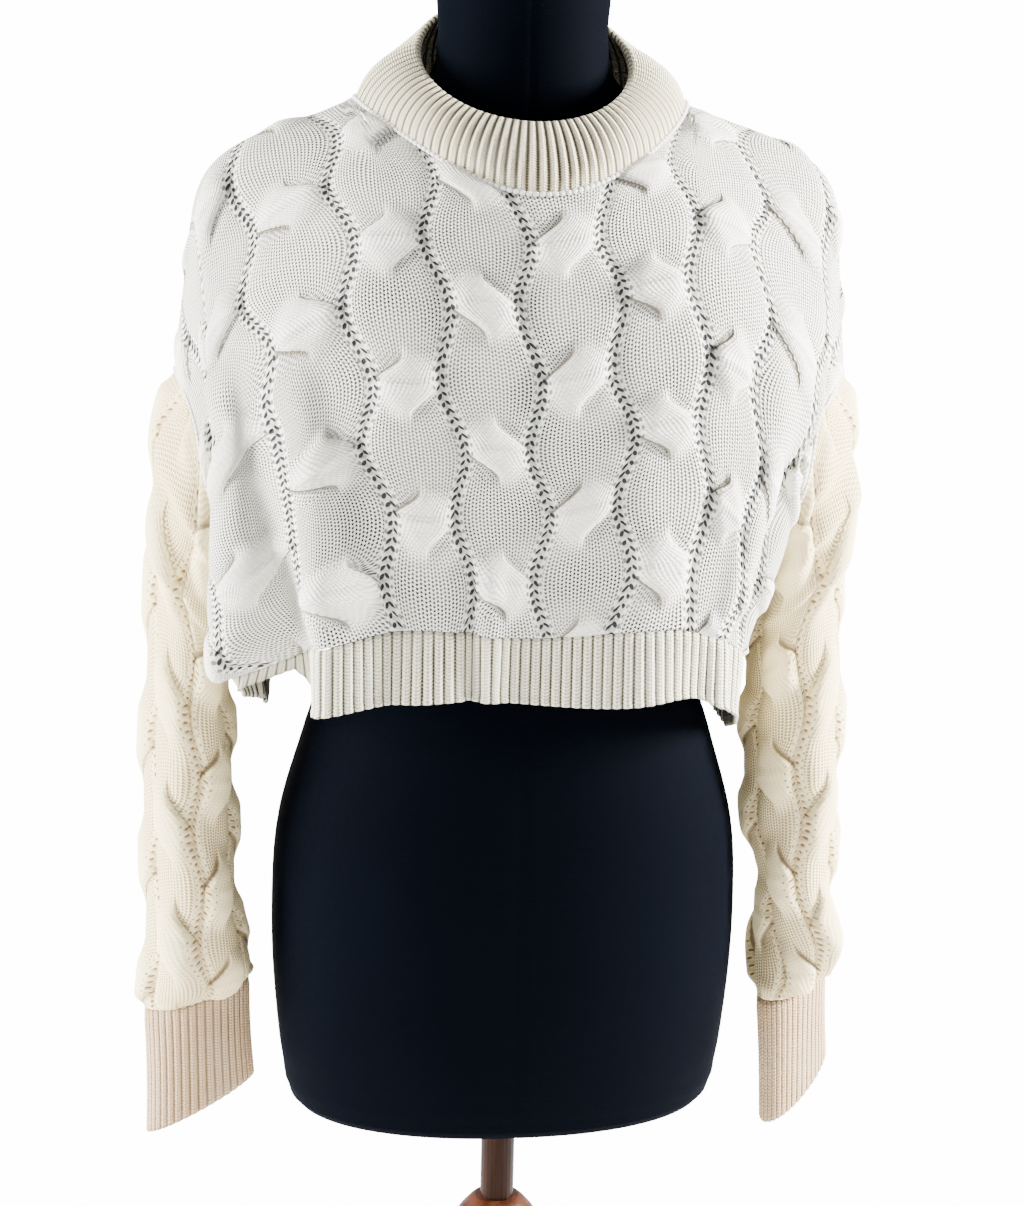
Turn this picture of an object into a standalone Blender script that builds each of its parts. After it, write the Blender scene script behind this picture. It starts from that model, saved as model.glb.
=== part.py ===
"""Cropped cable knit sweater on a limbless dress form with a turned wooden stand.

Metres, +Z up. The origin is on the floor under the pole, the sweater's front faces -Y and its left
sleeve, as seen from the front, is on the -X side.
"""

import math

import bmesh
import bpy
import numpy as np

# ---------------------------------------------------------------- driving dimensions
MM = 0.001
SEAM_GAP = 0.0007          # between pieces that are sewn or linked together
CLOTH = 0.003              # thickness of the knitted wall
HALF_WALL = CLOTH / 2
LEVEL = np.array([1.0, 1.0, 0.0])
REST_GAP = 0.0011          # between the knitting and the form it rests on

PANEL_HALF = 0.360         # middle of a body panel to its side edge, flat
CABLE_PITCH = 0.058        # from one cable column to the next
CABLE_REPEAT = 0.086       # from one crossing to the next in a column
CABLE_MIDDLE = 0.008       # the column that is nearest the centre front
CABLE_PHASE = 0.036        # where that column crosses, down from the shoulder line
ROWS_PER_REPEAT = 6
BODY_ROWS = 26
PANEL_DROP = BODY_ROWS * CABLE_REPEAT / ROWS_PER_REPEAT
ARMHOLE_ROWS = 16
ARMHOLE_DROP = ARMHOLE_ROWS * CABLE_REPEAT / ROWS_PER_REPEAT
NECK_ROWS = 8              # rows that give way to the neckline
NECK_HALF = 0.112
FRONT_NECK = 0.090
BACK_NECK = 0.018
NECK_POWER = 2.8           # above 2 the neckline is rounder than an ellipse
LEAN = 0.026               # sideways drift of the front's fall lines by the time they reach the rib

LADDER_WAVE = 0.0065       # how far an openwork ladder swings to each side
LADDER_DIP = 0.0012
TAUT_LADDER = -0.180       # the front ladder this far across is pulled straight by the left bag,
TAUT_WIDTH = 0.030         # with what lies this near it,
TAUT_FROM = 0.170          # from this course
TAUT_FADE = 0.050          # and fully this much lower
LEAF_PUFF = 0.0007
CROSSING_LIFT = 0.0042
CROSSING_LONG = 0.018      # a strand's edge leaves or meets the column's middle this far from the crossing
CROSSING_KINK = 0.002      # and meets the ladder this far on the other side of it
CROSSING_REACH = 0.027     # beyond which the strand has sunk back into its leaf
CROSSING_EDGE = 0.0035     # the over strand's edge falls off over this width
UNDER_DIP = 0.0010
EDGE_FADE = 0.010          # the relief dies away this far from a seam
UNDERARM_FADE = 0.085      # and from the underarm, where the cloth is bunched

HEM_WAVE = 0.0025           # the free band's lower edge rises and falls by this much
HEM_RIB = 0.0068           # pitch of the ribs at the hem
HEM_RELIEF = 0.0013
COLLAR_RIBS = 88
COLLAR_WALL = 0.0046       # the collar is folded double
COLLAR_RELIEF = 0.0013
COLLAR_BULGE = 0.0065
CUFF_RIBS = 38
CUFF_RELIEF = 0.0008

SLEEVE_LEAVES = 6          # cable columns round a sleeve
SLEEVE_ROWS = 24
SLEEVE_RADIUS = 0.055
SLEEVE_LENGTH = 0.40       # from the armhole seam to the cuff, flat
SLEEVE_LIFT = 0.0056
SLEEVE_PUFF = 0.0028
SLEEVE_SLACK = 1.4         # the sleeve's cables cross over this much longer a run than the body's

POLE_RADIUS = 0.0125
POLE_BOTTOM = 0.640
FORM_BOTTOM = 0.722
FORM_TOP = 1.542
LEG_REACH = 0.215
LEG_BLOCK = 0.030          # inradius of the hexagonal block that the legs join

# ---------------------------------------------------------------- tables, in millimetres
# The body is one surface from the back hem over the shoulders to the front hem. A row is a course of
# knitting at a distance down from the shoulder line (negative on the back). Named points lie on the fall
# lines at FALL_LINES: the middle, the chest, the side contour, the crease behind it and the side edge.
FALL_LINES = (0.0, 0.125, 0.225, 0.290, PANEL_HALF)
EDGE_SHARE = 0.6           # the right side edge lies in by this share of right_in, the crease by all of it
BODY_COLUMNS = (
    "down", "mid_y", "mid_z", "chest_x", "chest_y", "chest_z", "left_x", "right_x", "side_y", "side_z",
    "crease_x", "crease_y", "crease_z", "edge_x", "edge_y", "edge_z", "right_in", "left_drop",
)
BODY_SECTIONS = (
    (-373, 118, 1108, 101, 110, 1112, 166, 150, 84, 1088, 170, 62, 1064, 172, 16, 1046, 18, 12),
    (-305, 125, 1180, 110, 117, 1186, 190, 170, 94, 1124, 184, 68, 1092, 180, 14, 1074, 28, 8),
    (-229, 127, 1258, 114, 115, 1264, 198, 180, 94, 1190, 191, 78, 1130, 178, 10, 1110, 24, 4),
    (-160, 121, 1332, 117, 99, 1340, 202, 194, 80, 1262, 204, 90, 1206, 206, 66, 1170, 14, 0),
    (-80, 98, 1408, 119, 60, 1408, 206, 205, 40, 1330, 210, 54, 1274, 221, 66, 1234, 12, 0),
    (0, 50, 1466, 124, -1, 1439, 211, 211, -6, 1393, 224, 0, 1325, 231, 8, 1262, 0, 0),
    (80, -108, 1401, 119, -68, 1406, 206, 205, -50, 1330, 209, -54, 1278, 218, -58, 1238, 30, 0),
    (160, -135, 1328, 118, -114, 1342, 205, 194, -80, 1262, 202, -82, 1210, 206, -62, 1176, 32, 0),
    (229, -142, 1256, 116, -131, 1270, 207, 176, -92, 1190, 193, -64, 1132, 178, 10, 1110, 22, 4),
    (305, -138, 1180, 110, -133, 1192, 208, 158, -94, 1126, 187, -48, 1094, 180, 14, 1074, 28, 8),
    (373, -131, 1107, 101, -127, 1110, 190, 146, -88, 1086, 176, -36, 1064, 172, 16, 1046, 18, 12),
)

# Soft folds of the hanging knitting: a ridge (+) or trough (-) from one flat point to another.
FOLDS = (
    # from across, from down, to across, to down, width, height
    (-275, 150, -150, 250, 14, -4),
    (-300, 110, -200, 190, 13, 5),
    (170, 170, 150, 380, 18, 6),
    (205, 200, 178, 380, 15, -7),
    (285, 110, 190, 200, 14, 4),
    (270, 160, 160, 270, 14, -4),
    (-62, 330, -60, 400, 9, 4),
    (-78, 330, -76, 400, 8, -4),
    (40, 250, 60, 380, 22, 3),
    (-130, -150, -60, -380, 20, 6),
    (-90, -180, -20, -380, 18, -5),
    (120, -140, 90, -380, 22, 6),
    (60, -200, 40, -380, 18, -5),
    (-210, -170, -170, -380, 16, 8),
    (215, -180, 180, -380, 16, 7),
    (0, -60, 0, -160, 40, -4),
)

# The left front bags over its rib band, behind a long sharp ridge. Each row gives how far the cloth at a
# course lies from the plain body, at five fall lines: ridge, trough, crest, bag and flank.
BAG_LINES = (-172, -184, -198, -236, -272)
BAG_SLANT = 0.10           # the lines start this much further out for each metre higher up
BAG_EDGES = (-110, -140, -316, -346)
BAG_TOP = (90, 140)
BAG_MOVES = (
    # down, then x, y and z of the ridge, the trough, the crest, the bag and the flank
    (215, 5, -8, 0, 0, 5, 0, 0, -3, 0, 0, 0, 0, 0, 0, 0),
    (265, 5, -8, 0, 2, 7, 0, 0, -3, 0, 0, 0, 0, -2, 0, 0),
    (320, -5, -8, 0, 2, 11, -2, 2, 3, -4, -2, -2, 0, -8, -2, 5),
    (352, -14, -9, 0, 0, 15, -2, 4, 14, 0, -7, 0, -14, -9, 2, -3),
    (373, -13, -11, -2, 0, 7, -1, 14, 21, -2, -3, 18, -7, 0, 18, 2),
)

# Where the knitted pattern is dragged on the front: towards +X and down, about a flat point.
KNIT_SHIFTS = (
    # across, down, wide, long, moved aside, moved down
    (-108, 200, 42, 300, 0, 20),
    (-180, 230, 40, 170, 0, 8),
    (-50, 40, 30, 60, 0, 9),
    (66, 40, 30, 60, 0, 9),
    (-182, 400, 40, 170, 13, 0),
    (-250, 400, 55, 120, 34, 0),
    (95, 340, 34, 70, 7, 0),
    (150, 200, 30, 70, -6, 0),
    (205, 300, 36, 90, -14, 0),
)

# The rib band round the hem: it hangs free, but is rolled up under the bag at the left side.
FRONT_HEM = (
    # across, fall, flare, gap to the panel
    (-360, 15, -4, 1.0), (-316, 19, -4, 2.6), (-272, 22, -6, 2.4), (-240, 14, -10, 2.0), (-208, 12, -10, 1.6),
    (-186, 46, -2, 1.0), (-150, 47, 2, 0.8), (150, 47, 2, 0.8), (240, 47, -4, 0.8), (360, 47, -1, 0.8),
)
BACK_HEM = (
    (-360, 15, -4, 0.8), (-320, 24, -4, 0.8), (-270, 40, -4, 0.8), (-230, 47, -3, 0.8), (-150, 47, 2, 0.8),
    (150, 47, 2, 0.8), (240, 47, -4, 0.8), (360, 47, -1, 0.8),
)

# Horizontal sections of the dress form, bottom to neck.
FORM_SECTIONS = (
    # height, half width, depth in front of the pole, depth behind it
    (722, 132, 72, 92),
    (726, 146, 84, 106),
    (738, 156, 91, 116),
    (757, 160, 95, 120),
    (800, 165, 100, 124),
    (875, 168, 104, 126),
    (940, 163.5, 103, 121),
    (1007, 145, 97, 110),
    (1080, 123, 90, 97),
    (1150, 130, 101, 100),
    (1210, 140, 114, 105),
    (1265, 147, 121, 108),
    (1320, 158, 108, 106),
    (1355, 171, 88, 100),
    (1385, 176, 68, 88),
    (1403, 169, 56, 74),
    (1420, 146, 51, 65),
    (1434, 112, 50, 60),
    (1448, 78, 52, 59),
    (1462, 62, 53, 60),
    (1485, 57, 53, 60),
    (1530, 56, 54, 61),
    (1538, 53, 51, 58),
    (1542, 44, 42, 49),
)
FORM_SQUARENESS = 2.2

# Sleeve rings below the armhole. The far end tilts with the armhole and levels out on the way down.
SLEEVE_COLUMNS = ("share", "height", "out", "back", "half_width", "half_depth", "turn", "tilt")
SLEEVE_LEFT = (
    (0.10, 1157, 221, 11, 20, 68, 1, 58),
    (0.24, 1093, 224, 19, 22, 60, 0, 40),
    (0.44, 1012, 226, 18, 25, 56, -4, 20),
    (0.62, 941, 226.5, 13, 27, 52, -6, 10),
    (0.80, 872, 224.5, 9, 28, 48, -8, 4),
    (0.92, 828, 222, 7, 33.5, 38, -8, -6),
    (1.00, 808, 222, 5, 36, 19, -8, -10),
)
SLEEVE_RIGHT = (
    (0.10, 1157, 208, 12, 27, 68, -4, 58),
    (0.24, 1093, 208, 20, 26, 60, -6, 40),
    (0.44, 1012, 211, 17, 29, 54, -6, 20),
    (0.62, 941, 212.5, 12, 27.5, 50, -6, 10),
    (0.80, 872, 218.5, 8, 20.5, 45, -6, 3),
    (0.92, 828, 220, 6, 24, 34, 20, 4),
    (1.00, 804, 218, 4, 32, 16, 40, 6),
)
CUFF_COLUMNS = ("height", "out", "back", "half_width", "half_depth", "turn", "tilt")
CUFF_ENDS = {
    "left": (722, 220, 2, 37.5, 13, -8, -19),
    "right": (722, 223, 2, 32, 13, 40, 20),
}

COLUMN_PROFILE = (
    # height and radius of the turned stand column, top to the leg block
    (639.7, 14), (639, 17), (634, 22.5), (622, 31), (600, 38), (572, 41), (540, 38), (512, 30), (494, 22),
    (486, 19), (478, 25), (468, 27), (458, 25), (450, 18), (400, 19.5), (330, 25), (285, 29), (265, 27),
    (256, 21), (248, 27), (238, 29),
)


# ---------------------------------------------------------------- scene and mesh helpers
def clear_scene():
    for old in list(bpy.data.objects):
        bpy.data.objects.remove(old, do_unlink=True)


def material(name, colour, roughness, metallic=0.0):
    finish = bpy.data.materials.new(name)
    finish.use_nodes = True
    shader = finish.node_tree.nodes["Principled BSDF"]
    shader.inputs["Base Color"].default_value = (*colour, 1.0)
    shader.inputs["Roughness"].default_value = roughness
    shader.inputs["Metallic"].default_value = metallic
    return finish


def add_object(name, mesh_builder, finish, smooth_angle=50):
    """Make one named object from a bmesh, with its faces turned out and its own material."""
    bmesh.ops.recalc_face_normals(mesh_builder, faces=mesh_builder.faces[:])
    mesh = bpy.data.meshes.new(name)
    mesh_builder.to_mesh(mesh)
    mesh_builder.free()
    mesh.materials.append(finish)
    mesh.shade_smooth()
    mesh.set_sharp_from_angle(angle=math.radians(smooth_angle))
    piece = bpy.data.objects.new(name, mesh)
    bpy.context.scene.collection.objects.link(piece)
    return piece


def curve_through(knots, values, at):
    """Smooth curve through values[..., knot, :] at rising knots, read at the points at[...]."""
    knots = np.asarray(knots, float)
    slopes = np.gradient(values, knots, axis=-2)
    index = np.clip(np.searchsorted(knots, at, side="right") - 1, 0, len(knots) - 2)
    span = knots[index + 1] - knots[index]
    part = ((at - knots[index]) / span)[..., None]

    def pick(source, which):
        chosen = np.broadcast_to(source, index.shape + source.shape[-2:])
        return np.take_along_axis(chosen, which[..., None, None], axis=-2)[..., 0, :]

    start, end = pick(values, index), pick(values, index + 1)
    rise, fall = pick(slopes, index), pick(slopes, index + 1)
    width = span[..., None]
    square, cube = part**2, part**3
    return (
        start * (2 * cube - 3 * square + 1)
        + end * (3 * square - 2 * cube)
        + rise * width * (cube - 2 * square + part)
        + fall * width * (cube - square)
    )


def unit(vectors):
    return vectors / np.maximum(np.linalg.norm(vectors, axis=-1, keepdims=True), 1e-12)


def smooth_step(value):
    value = np.clip(value, 0, 1)
    return value * value * (3 - 2 * value)


def stitch(build, fine, coarse, stride):
    """Close the strip between a fine edge and the coarse edge that runs beside it."""
    half = stride // 2
    for k in range(len(coarse) - 1):
        run = fine[k * stride:(k + 1) * stride + 1]
        for a, b in zip(run[:half], run[1:half + 1]):
            build.faces.new((coarse[k], b, a))
        build.faces.new((coarse[k], coarse[k + 1], run[half]))
        for a, b in zip(run[half:-1], run[half + 1:]):
            build.faces.new((coarse[k + 1], b, a))


def wall(outer, inner, stride_down, stride_across, tube):
    """A closed wall between a fine outer grid of points and a coarser inner grid."""
    build = bmesh.new()
    grids = []
    for points in (outer, inner):
        rows = [[build.verts.new(tuple(p)) for p in row] for row in points]
        if tube:
            rows = [row + row[:1] for row in rows]
        for upper, lower in zip(rows[:-1], rows[1:]):
            for k in range(len(upper) - 1):
                build.faces.new((upper[k], upper[k + 1], lower[k + 1], lower[k]))
        grids.append(rows)
    fine, coarse = grids
    stitch(build, fine[0], coarse[0], stride_across)
    stitch(build, fine[-1], coarse[-1], stride_across)
    if not tube:
        for side in (0, -1):
            stitch(build, [row[side] for row in fine], [row[side] for row in coarse], stride_down)
    bmesh.ops.triangulate(build, faces=build.faces[:])
    return build


# ---------------------------------------------------------------- dress form
def form_sizes(height):
    table = np.array(FORM_SECTIONS) * MM
    return curve_through(table[:, 0], table[:, 1:], np.clip(height, table[0, 0], table[-1, 0]))


def form_radius(angle, height):
    """Distance from the axis to the form's skin; angle 0 is +X and the front is at -90 degrees."""
    sizes = form_sizes(height)
    across, along = np.cos(angle), np.sin(angle)
    depth = np.where(along < 0, sizes[..., 1], sizes[..., 2])
    power = FORM_SQUARENESS
    return (np.abs(across / sizes[..., 0]) ** power + np.abs(along / depth) ** power) ** (-1 / power)


def form_clearance(points):
    """Signed distance from points to the form, near its skin."""
    radius = np.hypot(points[..., 0], points[..., 1])
    angle = np.arctan2(points[..., 1], points[..., 0])
    height = points[..., 2]
    step = 0.001
    gap = radius - form_radius(angle, height)
    rise = (form_radius(angle, height + step) - form_radius(angle, height - step)) / (2 * step)
    turn = (form_radius(angle + step, height) - form_radius(angle - step, height)) / (2 * step)
    clear = gap / np.sqrt(1 + rise**2 + (turn / np.maximum(radius, 0.01)) ** 2)
    return np.where(height > FORM_TOP, 1.0, clear)


def make_form():
    """The torso and neck in one smooth body, closed flat below and above."""
    build = bmesh.new()
    around = 28
    angles = np.arange(around) * 2 * math.pi / around
    table = np.array(FORM_SECTIONS) * MM
    rings = []
    for height in table[:, 0]:
        radius = form_radius(angles, np.full(around, height))
        ring = [
            build.verts.new((r * math.cos(a), r * math.sin(a), height)) for r, a in zip(radius, angles)
        ]
        rings.append(ring)
    for lower, upper in zip(rings[:-1], rings[1:]):
        for k in range(around):
            after = (k + 1) % around
            build.faces.new((lower[k], lower[after], upper[after], upper[k]))
    build.faces.new(rings[0][::-1])
    build.faces.new(rings[-1])
    add_object("dress_form", build, material("black_jersey", (0.006, 0.008, 0.014), 0.85))


# ---------------------------------------------------------------- body surface
def body_table():
    """Points of the body sections as [course, fall line, xyz], from the left edge to the right edge."""
    courses = []
    for row in BODY_SECTIONS:
        size = dict(zip(BODY_COLUMNS, (value * MM for value in row)))
        right = [
            (size["chest_x"], size["chest_y"], size["chest_z"]),
            (size["right_x"], size["side_y"], size["side_z"]),
            (size["crease_x"] - size["right_in"], size["crease_y"], size["crease_z"]),
            (size["edge_x"] - size["right_in"] * EDGE_SHARE, size["edge_y"], size["edge_z"]),
        ]
        drop = size["left_drop"]
        left = [
            (-size["chest_x"], size["chest_y"], size["chest_z"]),
            (-size["left_x"], size["side_y"], size["side_z"] - drop),
            (-size["crease_x"], size["crease_y"], size["crease_z"] - drop * 0.7),
            (-size["edge_x"], size["edge_y"], size["edge_z"] - drop * 0.4),
        ]
        courses.append(left[::-1] + [(0.0, size["mid_y"], size["mid_z"])] + right)
    return np.array(courses)


BODY_TABLE = body_table()
COURSE_KNOTS = np.array([row[0] for row in BODY_SECTIONS]) * MM
ACROSS_KNOTS = np.array([-s for s in FALL_LINES[:0:-1]] + list(FALL_LINES))


def body_course(down):
    flat = BODY_TABLE.reshape(len(BODY_TABLE), -1)
    return curve_through(COURSE_KNOTS, flat, down).reshape(down.shape + BODY_TABLE.shape[1:])


def bag(across, down):
    """How far the left front's bag and ridge lie from the plain body."""
    rows = np.array(BAG_MOVES) * MM
    moves = np.zeros((len(rows) + 2, len(BAG_LINES) + 4, 3))
    moves[2:, 2:-2] = rows[:, 1:].reshape(len(rows), len(BAG_LINES), 3)
    courses = np.concatenate([np.array(BAG_TOP) * MM, rows[:, 0]])
    lines = np.array(sorted(BAG_LINES + BAG_EDGES)) * MM
    at_course = curve_through(courses, moves.reshape(len(moves), -1), np.clip(down, courses[0], courses[-1]))
    at_course = at_course.reshape(np.shape(down) + moves.shape[1:])[..., ::-1, :]
    slanted = np.clip(across + BAG_SLANT * (courses[-1] - down), lines[0], lines[-1])
    return curve_through(lines, at_course, slanted) * (down > courses[0])[..., None]


def bare_body(across, down):
    """The body surface without its folds; below the underarm the front and back share their side seam."""
    drift = LEAN * smooth_step(down / PANEL_DROP) * (1 - (across / PANEL_HALF) ** 2)
    course = body_course(down)
    shared = (course + body_course(-down)) / 2
    below_arm = (np.abs(down) > ARMHOLE_DROP)[..., None]
    for edge in (0, -1):
        course[..., edge, :] = np.where(below_arm, shared[..., edge, :], course[..., edge, :])
    return curve_through(ACROSS_KNOTS, course, across + drift) + bag(across, down)


def facing(surface, across, down):
    """Unit vectors out of a surface, by small steps across it and down it."""
    step = 0.0015
    along = surface(across + step, down) - surface(across - step, down)
    fall = surface(across, down + step) - surface(across, down - step)
    return unit(np.cross(fall, along))


def fold_height(across, down):
    total = np.zeros(np.broadcast(across, down).shape)
    for row in FOLDS:
        x0, y0, x1, y1, width, height = (value * MM for value in row)
        length = math.hypot(x1 - x0, y1 - y0)
        ux, uy = (x1 - x0) / length, (y1 - y0) / length
        along = (across - x0) * ux + (down - y0) * uy
        aside = (across - x0) * uy - (down - y0) * ux
        start, end = along / (0.35 * length), (length - along) / (0.35 * length)
        ends = smooth_step(start + 0.5) * smooth_step(end + 0.5)
        total = total + height * np.exp(-((aside / width) ** 2)) * ends
    edge = smooth_step((PANEL_HALF - np.abs(across)) / 0.045)
    over_shoulder = smooth_step(np.abs(down) / 0.05)
    return total * edge * over_shoulder


def body(across, down):
    """The middle of the knitted wall, folded and held clear of the form."""
    across, down = np.broadcast_arrays(np.asarray(across, float), np.asarray(down, float))
    points = bare_body(across, down)
    out = facing(bare_body, across, down)
    points = points + out * fold_height(across, down)[..., None]
    for _ in range(3):
        lack = HALF_WALL + REST_GAP - form_clearance(points)
        points = points + out * np.clip(lack, 0, 0.03)[..., None]
    return points


def neckline(across, depth):
    inside = np.clip(1 - np.abs(across / NECK_HALF) ** NECK_POWER, 0, 1)
    return depth * np.sqrt(inside)


# ---------------------------------------------------------------- knitting
def knit_place(across, down, side):
    """Coordinates in the pattern: columns lie at whole pitches, and even ones cross at whole repeats."""
    aside, drop = 0.0, 0.0
    for row in KNIT_SHIFTS:
        x0, y0, wide, long, over, fall = (value * MM for value in row)
        weight = np.exp(-(((across - x0) / wide) ** 2) - ((down - y0) / long) ** 2) * (side > 0)
        aside, drop = aside + over * weight, drop + fall * weight
    y = side * down - drop - CABLE_PHASE
    taut = np.exp(-(((across - TAUT_LADDER) / TAUT_WIDTH) ** 2)) * smooth_step((down - TAUT_FROM) / TAUT_FADE)
    aside = aside + taut * LADDER_WAVE * np.cos(2 * math.pi * y / CABLE_REPEAT)
    return across - aside - CABLE_MIDDLE, y


def half_column(y, column):
    """Half a column's width: it is narrowest at its crossings, where the ladders swing in."""
    phase = 2 * math.pi * (y / CABLE_REPEAT - np.mod(column, 2) / 2)
    return CABLE_PITCH / 2 - LADDER_WAVE * np.cos(phase)


def column_share(x, y):
    """The column that a place lies in, and how far it is from the column's middle to its edge."""
    nearest = np.rint(x / CABLE_PITCH)
    chosen, best = nearest, np.full(np.shape(nearest), 9.0)
    for shift in (-1, 0, 1):
        share = (x - (nearest + shift) * CABLE_PITCH) / half_column(y, nearest + shift)
        closer = np.abs(share) < np.abs(best)
        chosen = np.where(closer, nearest + shift, chosen)
        best = np.where(closer, share, best)
    return chosen, best


def crossing_at(x, y, column, slack=1.0):
    """Edges of the strand that lies on top at the column's nearest crossing, its mask, and how near it is."""
    long = CROSSING_LONG * slack
    reach = CROSSING_REACH * slack
    odd = np.mod(column, 2)
    below = y - (np.rint(y / CABLE_REPEAT - odd / 2) + odd / 2) * CABLE_REPEAT
    half = half_column(y, column)
    run = long + CROSSING_KINK
    late = smooth_step((below + CROSSING_KINK) / run)
    early = smooth_step((below + long) / run)
    left = np.where(odd == 1, -half * (1 - late), -half * early)
    right = np.where(odd == 1, half * early, half * (1 - late))
    beside = x - column * CABLE_PITCH
    over = smooth_step(np.minimum(beside - left, right - beside) / CROSSING_EDGE + 0.5)
    near = smooth_step((reach - np.hypot(beside, below)) / (0.6 * reach))
    return below, left, right, over, near


def cable_relief(x, y, lift, puff, slack=1.0):
    """Height of the cable pattern over the plain wall."""
    column, share = column_share(x, y)
    leaf = puff * (1 - np.abs(share) ** 3) - LADDER_DIP * np.exp(-(((1 - np.abs(share)) / 0.2) ** 2))
    _, left, right, over, near = crossing_at(x, y, column, slack)
    beside = x - column * CABLE_PITCH
    across_strand = (2 * beside - left - right) / (right - left)
    crown = 0.6 + 0.4 * np.sqrt(np.clip(1 - across_strand**2, 0, 1))
    return leaf + near * (lift * over * crown - UNDER_DIP * (1 - over))


def body_relief(across, down, side):
    """Cable relief of a panel; side is +1 on the front and -1 on the back."""
    relief = cable_relief(*knit_place(across, down, side), CROSSING_LIFT, LEAF_PUFF)
    depth = FRONT_NECK if side > 0 else BACK_NECK
    from_neck = np.hypot(across / NECK_HALF, down / depth) - 1
    fade = smooth_step((PANEL_HALF - np.abs(across)) / EDGE_FADE)
    fade = fade * smooth_step(np.abs(down) / EDGE_FADE)
    fade = fade * smooth_step((PANEL_DROP - np.abs(down)) / EDGE_FADE)
    fade = fade * smooth_step(from_neck * NECK_HALF / EDGE_FADE)
    underarm = np.hypot(PANEL_HALF - np.abs(across), ARMHOLE_DROP - np.abs(down))
    return relief * fade * smooth_step((underarm - 0.02) / UNDERARM_FADE)


def column_lines():
    """Where the panels' fall lines are meshed: on each ladder and at thirds of each leaf."""
    corner = 0.0065
    fixed = [-PANEL_HALF, -NECK_HALF, -NECK_HALF + corner, NECK_HALF - corner, NECK_HALF, PANEL_HALF]
    step = CABLE_PITCH / 3
    first = CABLE_MIDDLE - CABLE_PITCH / 2
    count = int(2 * PANEL_HALF / step) + 3
    lines = [first + (k - count // 2) * step for k in range(count)]
    lines = [s for s in lines if abs(s) < PANEL_HALF and min(abs(s - f) for f in fixed) > 0.006]
    return np.array(sorted(lines + fixed))


def armhole_edge(side, angles):
    """The armhole edge: its front half for the first half turn, then its back half."""
    turned = np.mod(angles, 2 * math.pi)
    down = np.where(turned <= math.pi, turned / math.pi, turned / math.pi - 2) * ARMHOLE_DROP
    return body(np.full(turned.shape, side * PANEL_HALF), down)


def seam_facing(across, down):
    """Outward vectors on a side edge, shared by the front and the back."""
    return unit(facing(body, across, down) + facing(body, across, -down))


def armhole_out(side, angles):
    """Vectors through the wall at the armhole seam, halfway between the panel's and the sleeve's own."""
    turned = np.mod(angles, 2 * math.pi)
    down = np.where(turned <= math.pi, turned / math.pi, turned / math.pi - 2) * ARMHOLE_DROP
    edge = np.full(turned.shape, side * PANEL_HALF)
    own = facing(body, edge, down)
    underarm = smooth_step((np.abs(down) - ARMHOLE_DROP * 0.9) / (ARMHOLE_DROP * 0.1))[..., None]
    panel = unit(own * (1 - underarm) + seam_facing(edge, np.abs(down)) * underarm)
    arm = sleeve_facing(side, angles, np.full(turned.shape, 0.02))
    run = unit(armhole_edge(side, angles + 0.03) - armhole_edge(side, angles - 0.03))
    half = unit(panel + arm)
    return unit(half - run * np.sum(half * run, axis=-1, keepdims=True))


def panel_points(side):
    """Middle points, outward vectors and relief of the front (side +1) or back (side -1) panel."""
    lines = column_lines()
    depth = FRONT_NECK if side > 0 else BACK_NECK
    tops = neckline(lines, depth)
    row_step = CABLE_REPEAT / ROWS_PER_REPEAT
    share = np.arange(BODY_ROWS + 1)[:, None]
    neck_end = NECK_ROWS * row_step
    down = np.where(share < NECK_ROWS, tops + (neck_end - tops) * share / NECK_ROWS, share * row_step)
    across = np.broadcast_to(lines, down.shape).copy()
    inside = np.where(np.abs(lines) < NECK_HALF - 1e-6, 0.0, SEAM_GAP / 2)
    down = down.copy()
    down[0] += inside
    down[-1] -= SEAM_GAP / 2
    inset = SEAM_GAP * (1 + 2.2 * np.exp(-(((down[:, 0] - ARMHOLE_DROP) / 0.045) ** 2)))
    across[:, 0] += inset
    across[:, -1] -= inset
    points = body(across, side * down)
    out = facing(body, across, side * down)
    for column, arm in ((0, -1), (-1, 1)):
        edge_down = down[:, column]
        seam = seam_facing(across[:, column], side * edge_down)
        hole = armhole_out(arm, side * math.pi * np.minimum(edge_down / ARMHOLE_DROP, 1))
        at_arm = (edge_down <= ARMHOLE_DROP + 1e-6)[:, None]
        out[:, column] = np.where(at_arm, hole, seam)
    out[-1] = unit(out[-1] * LEVEL)
    relief = body_relief(across, side * down, side)
    return points, out, relief


def make_panel(name, side, finish):
    points, out, relief = panel_points(side)
    outer = points + out * (HALF_WALL + relief)[..., None]
    inner = (points - out * HALF_WALL)[::2]
    add_object(name, wall(outer, inner, 2, 1, tube=False), finish)


# ---------------------------------------------------------------- ribs at the hem
def hem_fall(side, across):
    """How far the band falls, how far it flares out (or tucks in) at its foot, and its gap to the panel."""
    table = np.array(FRONT_HEM if side > 0 else BACK_HEM) * MM
    fall, flare, gap = (np.interp(across, table[:, 0], column) for column in table[:, 1:].T)
    wave = np.sin(across * 34) * smooth_step((0.16 - np.abs(across)) / 0.05) * (side > 0)
    return fall + HEM_WAVE * wave, flare + 1.6 * HEM_WAVE * wave, gap


def along_edge(points, count):
    """Evenly spaced places along a run of points: the index of the span and the share of it."""
    lengths = np.concatenate([[0], np.cumsum(np.linalg.norm(np.diff(points, axis=0), axis=1))])
    return np.interp(np.linspace(0, lengths[-1], count), lengths, np.arange(len(points)))


def meet_stations(places, count):
    """Move the nearest place onto each station of the panel's edge, so the two edges run alike."""
    places = places.copy()
    taken = set()
    for station in range(count):
        nearest = int(np.argmin(np.abs(places - station)))
        if nearest not in taken:
            places[nearest] = station
            taken.add(nearest)
    return places


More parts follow.
